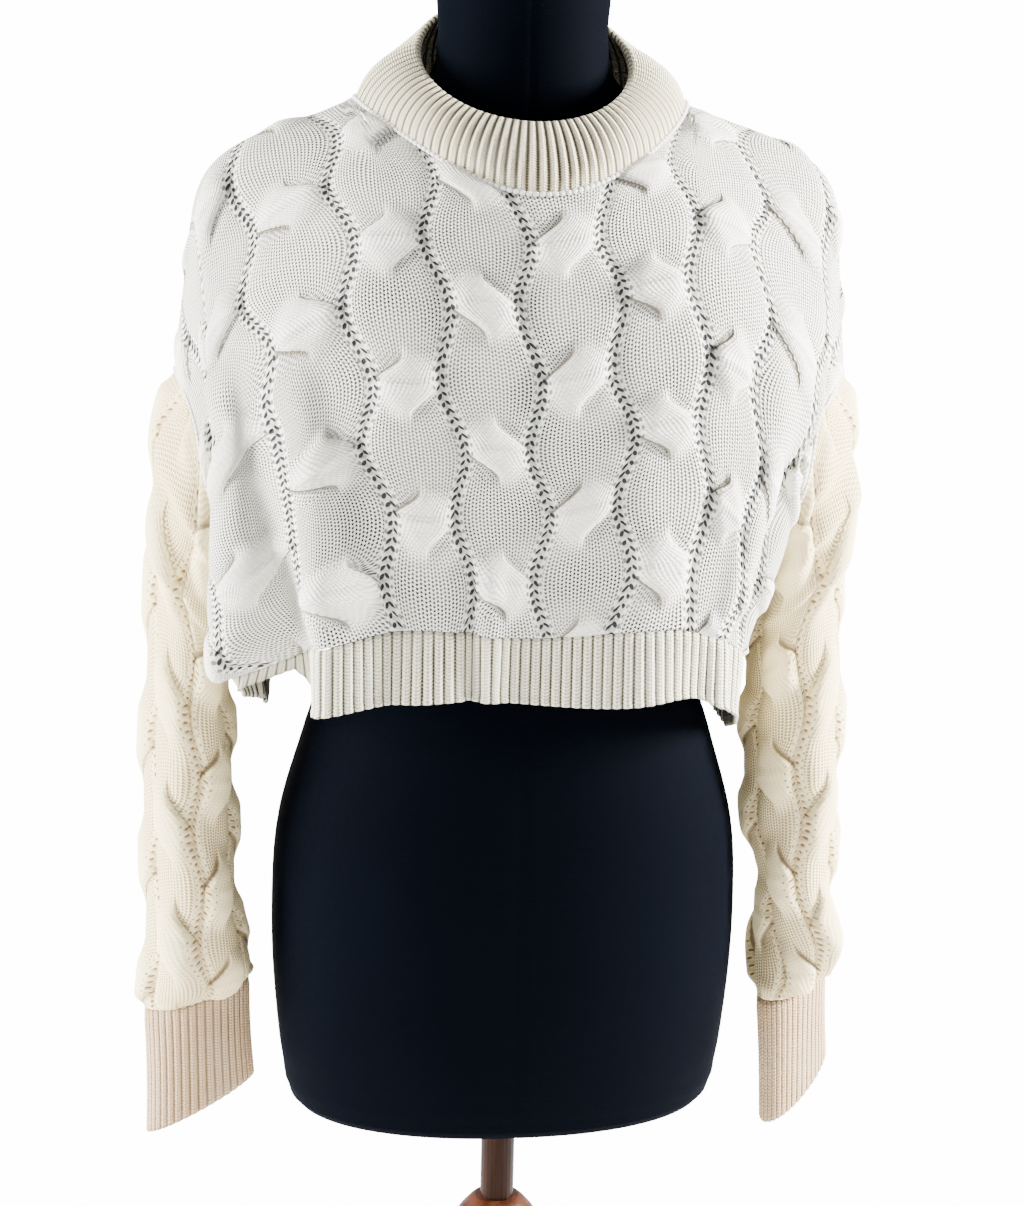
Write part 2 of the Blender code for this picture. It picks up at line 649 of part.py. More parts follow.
def read_at(values, places):
    index = np.clip(places.astype(int), 0, len(values) - 2)
    part = (places - index).reshape((-1,) + (1,) * (values.ndim - 1))
    return values[index] * (1 - part) + values[index + 1] * part


def make_hem(name, side, finish):
    """The rib band hangs from the panel's bottom edge and follows its points."""
    points, out, _ = panel_points(side)
    edge, edge_out, lines = points[-1], out[-1], column_lines()
    length = np.sum(np.linalg.norm(np.diff(edge, axis=0), axis=1))
    ribs = 2 * int(round(length / HEM_RIB / 2))
    places = along_edge(edge, 2 * ribs + 1)
    places[::2] = meet_stations(places[::2], len(edge))
    places[1::2] = (places[:-1:2] + places[2::2]) / 2
    top = read_at(edge, places)
    level = unit(read_at(edge_out, places))
    across = read_at(lines, places)
    fall, flare, gap = hem_fall(side, across)
    down = np.array([0, 0, -1.0])
    run = unit(np.gradient(top, axis=0))
    steepness = np.linalg.norm(run * LEVEL, axis=-1)
    start = top + down * (gap / steepness**2)[:, None]
    end = top + down * fall[:, None] + level * flare[:, None]
    middle = np.array([start, end])
    wave = np.where(np.arange(len(places)) % 2 == 1, 1.0, 0.0) * np.array([[0.3], [1.0]]) * HEM_RELIEF
    outer = middle + level * (HALF_WALL + wave)[..., None]
    inner = (middle - level * HALF_WALL)[:, ::2]
    add_object(name, wall(outer, inner, 1, 2, tube=False), finish, smooth_angle=15)


# ---------------------------------------------------------------- sleeves and cuffs
def ring(centre, half_width, half_depth, turn, tilt, side, angles):
    """A ring round an arm: angle 0 points away from the body and a quarter turn is the front."""
    turn = math.radians(turn) * side
    x = half_width * np.cos(angles) * side
    y = -half_depth * np.sin(angles)
    across = x * math.cos(turn) - y * math.sin(turn)
    along = x * math.sin(turn) + y * math.cos(turn)
    lift = tilt * MM * np.cos(angles)
    return np.stack([centre[0] * side + across, centre[1] + along, centre[2] + lift], axis=-1)


def sleeve_rows(side):
    return SLEEVE_LEFT if side < 0 else SLEEVE_RIGHT


def sleeve(side, angles, share):
    """The middle of a sleeve's wall, share 0 at the armhole and 1 at the cuff."""
    rings = [armhole_edge(side, angles)]
    knots = [0.0]
    for row in sleeve_rows(side):
        size = dict(zip(SLEEVE_COLUMNS, row))
        centre = np.array([size["out"], size["back"], size["height"]]) * MM
        half_width, half_depth = size["half_width"] * MM, size["half_depth"] * MM
        rings.append(ring(centre, half_width, half_depth, size["turn"], size["tilt"], side, angles))
        knots.append(size["share"])
    net = np.stack(rings, axis=-2)
    return curve_through(np.array(knots), net, share)


def sleeve_facing(side, angles, share):
    step = 0.01
    low = np.clip(share - step, 0, 1)
    high = np.clip(share + step, 0, 1)
    fall = sleeve(side, angles, high) - sleeve(side, angles, low)
    run = sleeve(side, angles + step, share) - sleeve(side, angles - step, share)
    return unit(np.cross(run, fall)) * side


SLEEVE_FOLDS = (
    # angle in degrees, place down the sleeve, lean, width in degrees, length as a share, height in mm
    (60, 0.16, 40, 26, 0.10, 5),
    (120, 0.26, 30, 24, 0.10, -4),
    (80, 0.50, -30, 24, 0.12, 4),
    (130, 0.66, 30, 22, 0.12, -4),
    (60, 0.86, 20, 22, 0.08, 4),
    (110, 0.93, 0, 20, 0.05, -4),
    (250, 0.30, 30, 26, 0.12, 5),
    (290, 0.55, -30, 24, 0.14, -4),
    (240, 0.80, 20, 26, 0.12, 5),
)


# Folded bands that cross the front of a sleeve's head, each with a sharp lower edge.
SLEEVE_BANDS = (
    # side, place on the front as a share, slope for each quarter turn, long, height in mm
    (-1, 0.075, -0.02, 0.035, 4.5),
    (-1, 0.190, 0.03, 0.030, 3.0),
    (1, 0.045, -0.04, 0.030, 4.0),
    (1, 0.105, -0.04, 0.030, 4.0),
    (1, 0.180, -0.03, 0.030, 3.5),
)
BAND_ENDS = (10, 30, 145, 165)     # degrees at which a band begins, is full, starts to fade and ends


def sleeve_pattern(angles, share):
    """Coordinates of a sleeve's pattern, with a whole number of columns round it."""
    around = angles * SLEEVE_LEAVES / (2 * math.pi)
    return around * CABLE_PITCH, share * SLEEVE_LENGTH - 0.03


def sleeve_bands(side, angles, share):
    start, full, fading, end = (math.radians(value) for value in BAND_ENDS)
    turned = np.mod(angles, 2 * math.pi)
    shows = smooth_step((turned - start) / (full - start)) * smooth_step((end - turned) / (end - fading))
    total = np.zeros(shows.shape)
    for band_side, place, slope, long, height in SLEEVE_BANDS:
        below = share - place - slope * (turned / (math.pi / 2) - 1)
        fall = np.where(below < 0, long, 0.35 * long)
        total = total + (band_side == side) * height * MM * np.exp(-((below / fall) ** 2))
    return total * shows * smooth_step(share / 0.04)


def sleeve_relief(side, angles, share):
    """Cables, deeper than on the body because the sleeve hangs unstretched, and soft folds."""
    knit = cable_relief(*sleeve_pattern(angles, share), SLEEVE_LIFT, SLEEVE_PUFF, SLEEVE_SLACK)
    knit = knit * smooth_step(share / 0.03) * smooth_step((1 - share) / 0.03)
    from_underarm = np.hypot((angles - math.pi) * SLEEVE_RADIUS, share * SLEEVE_LENGTH)
    bunched = smooth_step((from_underarm - 0.02) / UNDERARM_FADE)
    knit = knit * bunched
    total = np.zeros(knit.shape)
    for angle, place, lean, width, long, height in SLEEVE_FOLDS:
        below = share - place
        centre = math.radians(angle) + math.radians(lean) * below / long
        beside = np.mod(angles - centre + math.pi, 2 * math.pi) - math.pi
        total = total + height * MM * np.exp(-((beside / math.radians(width)) ** 2) - (below / long) ** 2)
    ends = smooth_step(share / 0.12) * smooth_step((1 - share) / 0.06)
    return knit, (total * ends + sleeve_bands(side, angles, share)) * bunched


def make_sleeve(name, side, finish):
    around = 2 * ARMHOLE_ROWS
    angles = np.broadcast_to(np.arange(around) * 2 * math.pi / around, (SLEEVE_ROWS + 1, around))
    share = np.linspace(0, 1, SLEEVE_ROWS + 1)[:, None] * np.ones(around)
    share = share.copy()
    share[0] += 0.0016
    share[-1] -= 0.0006
    points = sleeve(side, angles, share)
    out = sleeve_facing(side, angles, share)
    hole = armhole_out(side, angles[0])
    out[0] = hole
    out[1] = unit(out[1] + hole)
    out[-1] = cuff_out(side, angles[-1], 0.0)
    knit, folds = sleeve_relief(side, angles, share)
    points = points + out * folds[..., None]
    outer = points + out * (HALF_WALL + knit)[..., None]
    inner = (points - out * HALF_WALL)[::2, ::2]
    add_object(name, wall(outer, inner, 2, 2, tube=True), finish)


def cuff(side, angles, share):
    top = sleeve_rows(side)[-1]
    size = dict(zip(SLEEVE_COLUMNS, top))
    first = [size[key] for key in CUFF_COLUMNS]
    last = CUFF_ENDS["left" if side < 0 else "right"]
    height, out, back, half_width, half_depth, turn, tilt = (a + (b - a) * share for a, b in zip(first, last))
    pinch = 1 - 0.03 * math.sin(math.pi * share)
    centre = np.array([out, back, height]) * MM
    return ring(centre, half_width * MM * pinch, half_depth * MM * pinch, turn, tilt, side, angles)


def cuff_out(side, angles, share):
    """Unit vectors out of the cuff, in the plane of its ring."""
    quarter = cuff(side, np.array([0.0, math.pi / 2, math.pi, 3 * math.pi / 2]), share)
    axis = unit(np.cross(quarter[0] - quarter[2], quarter[1] - quarter[3]))
    step = 0.01
    run = cuff(side, angles + step, share) - cuff(side, angles - step, share)
    return unit(np.cross(run, axis))


def make_cuff(name, side, finish):
    around = 2 * CUFF_RIBS
    angles = np.arange(around) * 2 * math.pi / around
    shares = (0.005, 1.0)
    points = np.array([cuff(side, angles, share) for share in shares])
    out = np.array([cuff_out(side, angles, share) for share in shares])
    wave = np.where(np.arange(around) % 2 == 1, 1.0, 0.0) * CUFF_RELIEF
    outer = points + out * (HALF_WALL + wave)[None, :, None]
    inner = (points - out * HALF_WALL)[:, ::4]
    add_object(name, wall(outer, inner, 1, 4, tube=True), finish, smooth_angle=15)


# ---------------------------------------------------------------- collar
def neck_edge():
    """The panels' neck edges as one closed run of points and outward vectors, from the left side."""
    runs = []
    for side in (1, -1):
        lines = column_lines()
        points, out, _ = panel_points(side)
        keep = np.abs(lines) < NECK_HALF - 1e-6
        order = slice(None) if side > 0 else slice(None, None, -1)
        runs.append((points[0][keep][order], out[0][keep][order]))
        corner = body(np.array([side * NECK_HALF]), np.zeros(1))
        corner_out = facing(body, np.array([side * NECK_HALF]), np.zeros(1))
        runs.append((corner, corner_out))
    return np.concatenate([run[0] for run in runs]), np.concatenate([run[1] for run in runs])


def collar_top(angles):
    """The folded top edge: a tilted oval, angle 0 at the centre front, turning towards +X."""
    x = 0.071 * np.sin(angles)
    y = -0.0125 - 0.083 * np.cos(angles)
    return np.stack([x, y, 1.480 + 0.45 * y], axis=-1)


def make_collar(name, finish):
    edge, edge_out = neck_edge()
    closed = np.concatenate([edge, edge[:1]])
    closed_out = np.concatenate([edge_out, edge_out[:1]])
    lengths = np.concatenate([[0], np.cumsum(np.linalg.norm(np.diff(closed, axis=0), axis=1))])
    around = 2 * COLLAR_RIBS
    places = np.arange(around) * lengths[-1] / around
    bottom = np.stack([np.interp(places, lengths, closed[:, k]) for k in range(3)], axis=-1)
    out = unit(np.stack([np.interp(places, lengths, closed_out[:, k]) for k in range(3)], axis=-1))
    run = unit(np.roll(bottom, -1, axis=0) - np.roll(bottom, 1, axis=0))
    inwards = unit(np.cross(out, run))
    middle = np.array([0, 0, 1.45])
    inwards = inwards * np.sign(np.sum(inwards * (middle - bottom), axis=-1, keepdims=True))
    bottom = bottom + inwards * SEAM_GAP
    angles = np.arctan2(bottom[:, 0], -(bottom[:, 1] + 0.0125))
    top = collar_top(angles)
    rise = unit(top - bottom)
    stand = unit(np.cross(run, rise))
    stand = stand * np.sign(np.sum(stand * out, axis=-1, keepdims=True))
    half = COLLAR_WALL / 2
    wave = (np.where(np.arange(around) % 2 == 1, 1.0, 0.0) * COLLAR_RELIEF)[:, None]
    fine, plain = [], []
    for share, relief in ((0.0, 0.4), (0.55, 1.0)):
        lean = unit(out * (1 - min(share / 0.3, 1)) + stand * min(share / 0.3, 1))
        line = bottom + (top - bottom) * share + stand * COLLAR_BULGE * 4 * share * (1 - share)
        fine.append(line + lean * (half + wave * relief))
        plain.append((line - lean * half)[::4])
    crest = top + rise * half * 0.8 + stand * half * 0.2
    fine.append(crest + stand * wave * 0.3)
    plain.append((top - stand * half * 0.7)[::4])
    add_object(name, wall(np.array(fine), np.array(plain), 1, 4, tube=True), finish, smooth_angle=15)


# ---------------------------------------------------------------- stand
def make_pole(finish):
    length = FORM_BOTTOM - SEAM_GAP - POLE_BOTTOM
    build = bmesh.new()
    bmesh.ops.create_cone(
        build, cap_ends=True, segments=24, radius1=POLE_RADIUS, radius2=POLE_RADIUS, depth=length
    )
    pole = add_object("pole", build, finish)
    pole.location = (0, 0, POLE_BOTTOM + length / 2)


def make_column(finish):
    """The turned column, over a hexagonal block that the legs join."""
    build = bmesh.new()
    around = 12
    rings = []
    for height, radius in COLUMN_PROFILE:
        rings.append([
            build.verts.new((radius * MM * math.cos(k * 2 * math.pi / around),
                             radius * MM * math.sin(k * 2 * math.pi / around), height * MM))
            for k in range(around)
        ])
    corner_radius = LEG_BLOCK / math.cos(math.pi / 6)
    for height in (0.232, 0.128):
        block = []
        for k in range(around):
            angle = k * 2 * math.pi / around
            off_flat = (angle + math.pi / 6) % (math.pi / 3) - math.pi / 6
            radius = min(LEG_BLOCK / math.cos(off_flat), corner_radius)
            block.append(build.verts.new((radius * math.cos(angle), radius * math.sin(angle), height)))
        rings.append(block)
    for height, radius in ((0.120, 0.021), (0.106, 0.016), (0.098, 0.006)):
        rings.append([
            build.verts.new((radius * math.cos(k * 2 * math.pi / around),
                             radius * math.sin(k * 2 * math.pi / around), height))
            for k in range(around)
        ])
    for upper, lower in zip(rings[:-1], rings[1:]):
        for k in range(around):
            after = (k + 1) % around
            build.faces.new((upper[k], upper[after], lower[after], lower[k]))
    build.faces.new(rings[0])
    build.faces.new(rings[-1][::-1])
    add_object("stand_column", build, finish, smooth_angle=35)


def make_leg(name, angle, finish):
    """A curved leg: it leaves the block level, sweeps down and out, and ends on a flat foot."""
    build = bmesh.new()
    stations = 10
    start = LEG_BLOCK + SEAM_GAP
    sections = []
    for k in range(stations):
        share = k / (stations - 1)
        out = start + (LEG_REACH - start) * share
        drop = smooth_step(share * 0.96) ** 0.9
        middle = 0.184 - (0.184 - 0.014) * drop
        tall = 0.030 - 0.016 * min(share * 1.15, 1)
        wide = 0.013 - 0.002 * share
        top, bottom = middle + tall, middle - tall
        if k >= stations - 2:
            top, bottom = 0.028 - 0.006 * (k - stations + 2), 0.0
        bevel = 0.35 * wide
        sections.append([
            (out, -wide, bottom), (out, wide, bottom), (out, wide, top - bevel),
            (out, wide - bevel, top), (out, -wide + bevel, top), (out, -wide, top - bevel),
        ])
    cosine, sine = math.cos(angle), math.sin(angle)
    turn = np.array([[cosine, -sine, 0], [sine, cosine, 0], [0, 0, 1]])
    rings = [[build.verts.new(tuple(turn @ np.array(p))) for p in section] for section in sections]
    for near, far in zip(rings[:-1], rings[1:]):
        for k in range(len(near)):
            after = (k + 1) % len(near)
            build.faces.new((near[k], near[after], far[after], far[k]))
    build.faces.new(rings[0][::-1])
    build.faces.new(rings[-1])
    add_object(name, build, finish, smooth_angle=35)


# ---------------------------------------------------------------- the whole part
def main():
    clear_scene()
    knit = material("cream_knit", (0.62, 0.60, 0.53), 0.9)
    sleeve_knit = material("cream_knit_sleeve", (0.68, 0.62, 0.49), 0.9)
    rib = material("cream_rib", (0.66, 0.63, 0.54), 0.9)
    wood = material("polished_mahogany", (0.20, 0.055, 0.025), 0.25)
    make_form()
    make_panel("front_panel", 1, knit)
    make_panel("back_panel", -1, knit)
    make_hem("hem_rib_front", 1, rib)
    make_hem("hem_rib_back", -1, rib)
    make_collar("collar", rib)
    for name, side in (("left", -1), ("right", 1)):
        make_sleeve(f"sleeve_{name}", side, sleeve_knit)
        make_cuff(f"cuff_{name}", side, rib)
    make_pole(wood)
    make_column(wood)
    for number in range(3):
        make_leg(f"leg_{number + 1}", number * 2 * math.pi / 3, wood)


main()
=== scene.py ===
# %% [markdown]
# # A cropped cable knit sweater on a dress form
# The sweater is knitted in separate pieces: a front, a back, two sleeves, two bands of rib at the hem,
# two rib cuffs and a collar that is folded double. Here each of them is a thin sheet, made from a flat
# grid whose points are carried to where the cloth hangs. The same few tables of sizes shape all of them.
# The file is read from top to bottom: frame, camera, shapes, finishes, pieces.

import math

import bpy
import numpy as np
from mathutils import Matrix


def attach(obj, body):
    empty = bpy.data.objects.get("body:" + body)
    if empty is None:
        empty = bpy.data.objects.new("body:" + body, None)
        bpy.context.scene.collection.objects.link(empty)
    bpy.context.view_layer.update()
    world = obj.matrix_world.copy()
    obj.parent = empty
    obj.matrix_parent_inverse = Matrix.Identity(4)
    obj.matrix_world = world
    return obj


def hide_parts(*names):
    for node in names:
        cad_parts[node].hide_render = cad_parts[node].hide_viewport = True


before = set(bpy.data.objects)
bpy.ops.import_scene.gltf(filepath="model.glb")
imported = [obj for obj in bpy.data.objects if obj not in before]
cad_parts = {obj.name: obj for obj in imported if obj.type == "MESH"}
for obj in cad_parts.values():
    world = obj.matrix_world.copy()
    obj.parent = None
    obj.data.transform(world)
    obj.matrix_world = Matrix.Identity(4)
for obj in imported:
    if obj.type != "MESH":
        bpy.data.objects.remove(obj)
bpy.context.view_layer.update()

# %% [markdown]
# ## The camera
# It stands a little to the left of the centre front, above the chest, and looks down. A long lens keeps
# the sweater's proportions, as in any product picture. Its matrix is built from a heading, a pitch and a
# slight roll, because these three are easier to judge than a matrix or a target point.

# %% Camera
PICTURE = (1024, 1206)
CAMERA_HEADING = math.radians(-7)
CAMERA_PITCH = math.radians(14.5)
CAMERA_ROLL = math.radians(1.3)
CAMERA_DISTANCE = 1.75
CAMERA_HEIGHT = 1.55
LENS_IN_PIXELS = 2561
SENSOR = 24.0


def add_camera():
    heading = np.array([-math.sin(CAMERA_HEADING), math.cos(CAMERA_HEADING), 0.0])
    place = -heading * CAMERA_DISTANCE + np.array([0, 0, CAMERA_HEIGHT])
    ahead = heading * math.cos(CAMERA_PITCH) - np.array([0, 0, math.sin(CAMERA_PITCH)])
    right = np.array([math.cos(CAMERA_HEADING), math.sin(CAMERA_HEADING), 0.0])
    up = np.cross(right, ahead)
    turned_right = right * math.cos(CAMERA_ROLL) + up * math.sin(CAMERA_ROLL)
    turned_up = up * math.cos(CAMERA_ROLL) - right * math.sin(CAMERA_ROLL)
    bpy.ops.object.camera_add()
    camera = bpy.context.object
    camera.name = "camera"
    columns = (turned_right, turned_up, -ahead, place)
    camera.matrix_world = Matrix([[c[k] for c in columns] for k in range(3)] + [[0, 0, 0, 1]])
    camera.data.sensor_fit = "VERTICAL"
    camera.data.sensor_height = SENSOR
    camera.data.lens = SENSOR * LENS_IN_PIXELS / PICTURE[1]
    camera.data.shift_x = 2 / PICTURE[1]
    bpy.context.scene.camera = camera
    return camera


bpy.ops.object.select_all(action="DESELECT")
camera = add_camera()
print("lens", round(camera.data.lens, 2), "mm")

# %% [markdown]
# ## Floor and light
# A studio picture of white knitting needs soft light, or the stitches burn out. One lamp on the right shapes
# the folds, a wider and weaker one on the left keeps their shadows open, a faint one above and behind
# edges the shoulders, and a pale world fills the rest.

# %% Stage
BACKDROP = 15.0            # strength of the white behind the object, for the camera only


def show_to_camera(tree, shader, strength):
    """What the camera sees is a bright white; the light that the surface sends on stays as it was."""
    white = tree.nodes.new("ShaderNodeEmission" if shader.type != "BACKGROUND" else "ShaderNodeBackground")
    white.inputs["Color"].default_value = (1, 1, 1, 1)
    white.inputs["Strength"].default_value = strength
    rays = tree.nodes.new("ShaderNodeLightPath")
    mix = tree.nodes.new("ShaderNodeMixShader")
    end = [link.to_socket for link in tree.links if link.from_node == shader][0]
    tree.links.new(rays.outputs["Is Camera Ray"], mix.inputs[0])
    tree.links.new(shader.outputs[0], mix.inputs[1])
    tree.links.new(white.outputs[0], mix.inputs[2])
    tree.links.new(mix.outputs[0], end)


def add_floor():
    bpy.ops.mesh.primitive_plane_add(size=40)
    floor = bpy.context.object
    floor.name = "floor"
    finish = bpy.data.materials.new("pale_floor")
    finish.use_nodes = True
    shader = finish.node_tree.nodes["Principled BSDF"]
    shader.inputs["Base Color"].default_value = (0.92, 0.92, 0.92, 1)
    shader.inputs["Roughness"].default_value = 0.9
    show_to_camera(finish.node_tree, shader, BACKDROP)
    floor.data.materials.append(finish)


def add_lamp(name, place, target, size, power, colour):
    bpy.ops.object.light_add(type="AREA", location=place)
    lamp = bpy.context.object
    lamp.name = name
    lamp.data.shape = "RECTANGLE"
    lamp.data.size, lamp.data.size_y = size
    lamp.data.energy = power
    lamp.data.color = colour
    aim = np.array(target) - np.array(place)
    back = -aim / np.linalg.norm(aim)
    side = np.cross([0, 0, 1], back)
    side = side / np.linalg.norm(side)
    lift = np.cross(back, side)
    lamp.matrix_world = Matrix([[side[k], lift[k], back[k], place[k]] for k in range(3)] + [[0, 0, 0, 1]])


CHEST = (0.0, 0.0, 1.15)
add_floor()
add_lamp("key_right", (2.4, -0.25, 1.8), CHEST, (0.5, 0.9), 600, (1.0, 0.985, 0.96))
add_lamp("fill_left", (-2.4, -0.15, 1.4), CHEST, (1.0, 1.4), 360, (1.0, 0.99, 0.97))
add_lamp("top_back", (-0.3, 1.6, 2.6), CHEST, (1.6, 1.0), 30, (1.0, 0.98, 0.95))
world = bpy.data.worlds.new("pale_room")
bpy.context.scene.world = world
world.use_nodes = True
room = world.node_tree.nodes["Background"]
room.inputs["Color"].default_value = (0.93, 0.95, 1.0, 1)
room.inputs["Strength"].default_value = 0.90
show_to_camera(world.node_tree, room, BACKDROP)

# %% [markdown]
# ## Sizes and shapes
# The sizes are the same as those of the model's solids, in metres or, in the tables, in millimetres. Each
# table is read through a smooth curve, so a few named sections give the whole form.

# %% Sizes
TURN = 2 * math.pi
MM = 0.001
CLOTH = 0.003              # thickness of the knitted wall
HALF_WALL = CLOTH / 2
LEVEL = np.array([1.0, 1.0, 0.0])
REST_GAP = 0.0011          # between the knitting and the form it rests on
SEAM_GAP = 0.0007          # between pieces that are sewn or linked together
SHELL = 0.0018             # thickness of the visible knitting
PANEL_HALF = 0.360         # middle of a body panel to its side edge, flat
CABLE_PITCH = 0.058        # from one cable column to the next
CABLE_REPEAT = 0.086       # from one crossing to the next in a column
CABLE_MIDDLE = 0.008       # the column that is nearest the centre front
CABLE_PHASE = 0.036        # where that column crosses, down from the shoulder line
ROWS_PER_REPEAT = 6
BODY_ROWS = 26
PANEL_DROP = BODY_ROWS * CABLE_REPEAT / ROWS_PER_REPEAT
ARMHOLE_ROWS = 16
ARMHOLE_DROP = ARMHOLE_ROWS * CABLE_REPEAT / ROWS_PER_REPEAT
NECK_HALF = 0.112
FRONT_NECK = 0.090
BACK_NECK = 0.018
NECK_POWER = 2.8           # above 2 the neckline is rounder than an ellipse
LEAN = 0.026               # sideways drift of the front's fall lines by the time they reach the rib

# %% Helpers for curves and directions
def curve_through(knots, values, at):
    """Smooth curve through values[..., knot, :] at rising knots, read at the points at[...]."""
    knots = np.asarray(knots, float)
    slopes = np.gradient(values, knots, axis=-2)
    index = np.clip(np.searchsorted(knots, at, side="right") - 1, 0, len(knots) - 2)
    span = knots[index + 1] - knots[index]
    part = ((at - knots[index]) / span)[..., None]

    def pick(source, which):
        chosen = np.broadcast_to(source, index.shape + source.shape[-2:])
        return np.take_along_axis(chosen, which[..., None, None], axis=-2)[..., 0, :]

    start, end = pick(values, index), pick(values, index + 1)
    rise, fall = pick(slopes, index), pick(slopes, index + 1)
    width = span[..., None]
    square, cube = part**2, part**3
    return (
        start * (2 * cube - 3 * square + 1)
        + end * (3 * square - 2 * cube)
        + rise * width * (cube - 2 * square + part)
        + fall * width * (cube - square)
    )


def unit(vectors):
    return vectors / np.maximum(np.linalg.norm(vectors, axis=-1, keepdims=True), 1e-12)


def smooth_step(value):
    value = np.clip(value, 0, 1)
    return value * value * (3 - 2 * value)


# %% [markdown]
# ## The dress form's shape
# A dress form is turned from a handful of horizontal sections. Between two of them a curve is
# drawn, and round each of them a rounded ellipse, with its own depth in front and behind.

# %% Dress form sections
# Horizontal sections of the dress form, bottom to neck.
FORM_SECTIONS = (
    # height, half width, depth in front of the pole, depth behind it
    (722, 132, 72, 92),
    (726, 146, 84, 106),
    (738, 156, 91, 116),
    (757, 160, 95, 120),
    (800, 165, 100, 124),
    (875, 168, 104, 126),
    (940, 163.5, 103, 121),
    (1007, 145, 97, 110),
    (1080, 123, 90, 97),
    (1150, 130, 101, 100),
    (1210, 140, 114, 105),
    (1265, 147, 121, 108),
    (1320, 158, 108, 106),
    (1355, 171, 88, 100),
    (1385, 176, 68, 88),
    (1403, 169, 56, 74),
    (1420, 146, 51, 65),
    (1434, 112, 50, 60),
    (1448, 78, 52, 59),
    (1462, 62, 53, 60),
    (1485, 57, 53, 60),
    (1530, 56, 54, 61),
    (1538, 53, 51, 58),
    (1542, 44, 42, 49),
)
FORM_SQUARENESS = 2.2
FORM_TOP = 1.542


def form_sizes(height):
    table = np.array(FORM_SECTIONS) * MM
    return curve_through(table[:, 0], table[:, 1:], np.clip(height, table[0, 0], table[-1, 0]))


def form_radius(angle, height):
    """Distance from the axis to the form's skin; angle 0 is +X and the front is at -90 degrees."""
    sizes = form_sizes(height)
    across, along = np.cos(angle), np.sin(angle)
    depth = np.where(along < 0, sizes[..., 1], sizes[..., 2])
    power = FORM_SQUARENESS
    return (np.abs(across / sizes[..., 0]) ** power + np.abs(along / depth) ** power) ** (-1 / power)


def form_clearance(points):
    """Signed distance from points to the form, near its skin."""
    radius = np.hypot(points[..., 0], points[..., 1])
    angle = np.arctan2(points[..., 1], points[..., 0])
    height = points[..., 2]
    step = 0.001
    gap = radius - form_radius(angle, height)
    rise = (form_radius(angle, height + step) - form_radius(angle, height - step)) / (2 * step)
    turn = (form_radius(angle + step, height) - form_radius(angle - step, height)) / (2 * step)
    clear = gap / np.sqrt(1 + rise**2 + (turn / np.maximum(radius, 0.01)) ** 2)
    return np.where(height > FORM_TOP, 1.0, clear)


# %% [markdown]
# ## How the body of the sweater hangs
# Front and back are one surface that runs over the shoulders. Across it are nine fall lines, and down it a
# section every few centimetres. Folds are added as soft ridges and troughs between two points each, so
# they can be placed as a stylist would push them in.

# %% Body sections
FALL_LINES = (0.0, 0.125, 0.225, 0.290, PANEL_HALF)
EDGE_SHARE = 0.6           # the right side edge lies in by this share of right_in, the crease by all of it
BODY_COLUMNS = (
    "down", "mid_y", "mid_z", "chest_x", "chest_y", "chest_z", "left_x", "right_x", "side_y", "side_z",
    "crease_x", "crease_y", "crease_z", "edge_x", "edge_y", "edge_z", "right_in", "left_drop",
)
BODY_SECTIONS = (
    (-373, 118, 1108, 101, 110, 1112, 166, 150, 84, 1088, 170, 62, 1064, 172, 16, 1046, 18, 12),
    (-305, 125, 1180, 110, 117, 1186, 190, 170, 94, 1124, 184, 68, 1092, 180, 14, 1074, 28, 8),
    (-229, 127, 1258, 114, 115, 1264, 198, 180, 94, 1190, 191, 78, 1130, 178, 10, 1110, 24, 4),
    (-160, 121, 1332, 117, 99, 1340, 202, 194, 80, 1262, 204, 90, 1206, 206, 66, 1170, 14, 0),
    (-80, 98, 1408, 119, 60, 1408, 206, 205, 40, 1330, 210, 54, 1274, 221, 66, 1234, 12, 0),
    (0, 50, 1466, 124, -1, 1439, 211, 211, -6, 1393, 224, 0, 1325, 231, 8, 1262, 0, 0),
    (80, -108, 1401, 119, -68, 1406, 206, 205, -50, 1330, 209, -54, 1278, 218, -58, 1238, 30, 0),
    (160, -135, 1328, 118, -114, 1342, 205, 194, -80, 1262, 202, -82, 1210, 206, -62, 1176, 32, 0),
    (229, -142, 1256, 116, -131, 1270, 207, 176, -92, 1190, 193, -64, 1132, 178, 10, 1110, 22, 4),
    (305, -138, 1180, 110, -133, 1192, 208, 158, -94, 1126, 187, -48, 1094, 180, 14, 1074, 28, 8),
    (373, -131, 1107, 101, -127, 1110, 190, 146, -88, 1086, 176, -36, 1064, 172, 16, 1046, 18, 12),
)


def body_table():
    """Points of the body sections as [course, fall line, xyz], from the left edge to the right edge."""
    courses = []
    for row in BODY_SECTIONS:
        size = dict(zip(BODY_COLUMNS, (value * MM for value in row)))
        right = [
            (size["chest_x"], size["chest_y"], size["chest_z"]),
            (size["right_x"], size["side_y"], size["side_z"]),
            (size["crease_x"] - size["right_in"], size["crease_y"], size["crease_z"]),
            (size["edge_x"] - size["right_in"] * EDGE_SHARE, size["edge_y"], size["edge_z"]),
        ]
        drop = size["left_drop"]
        left = [
            (-size["chest_x"], size["chest_y"], size["chest_z"]),
            (-size["left_x"], size["side_y"], size["side_z"] - drop),
            (-size["crease_x"], size["crease_y"], size["crease_z"] - drop * 0.7),
            (-size["edge_x"], size["edge_y"], size["edge_z"] - drop * 0.4),
        ]
        courses.append(left[::-1] + [(0.0, size["mid_y"], size["mid_z"])] + right)
    return np.array(courses)


BODY_TABLE = body_table()
COURSE_KNOTS = np.array([row[0] for row in BODY_SECTIONS]) * MM
ACROSS_KNOTS = np.array([-s for s in FALL_LINES[:0:-1]] + list(FALL_LINES))

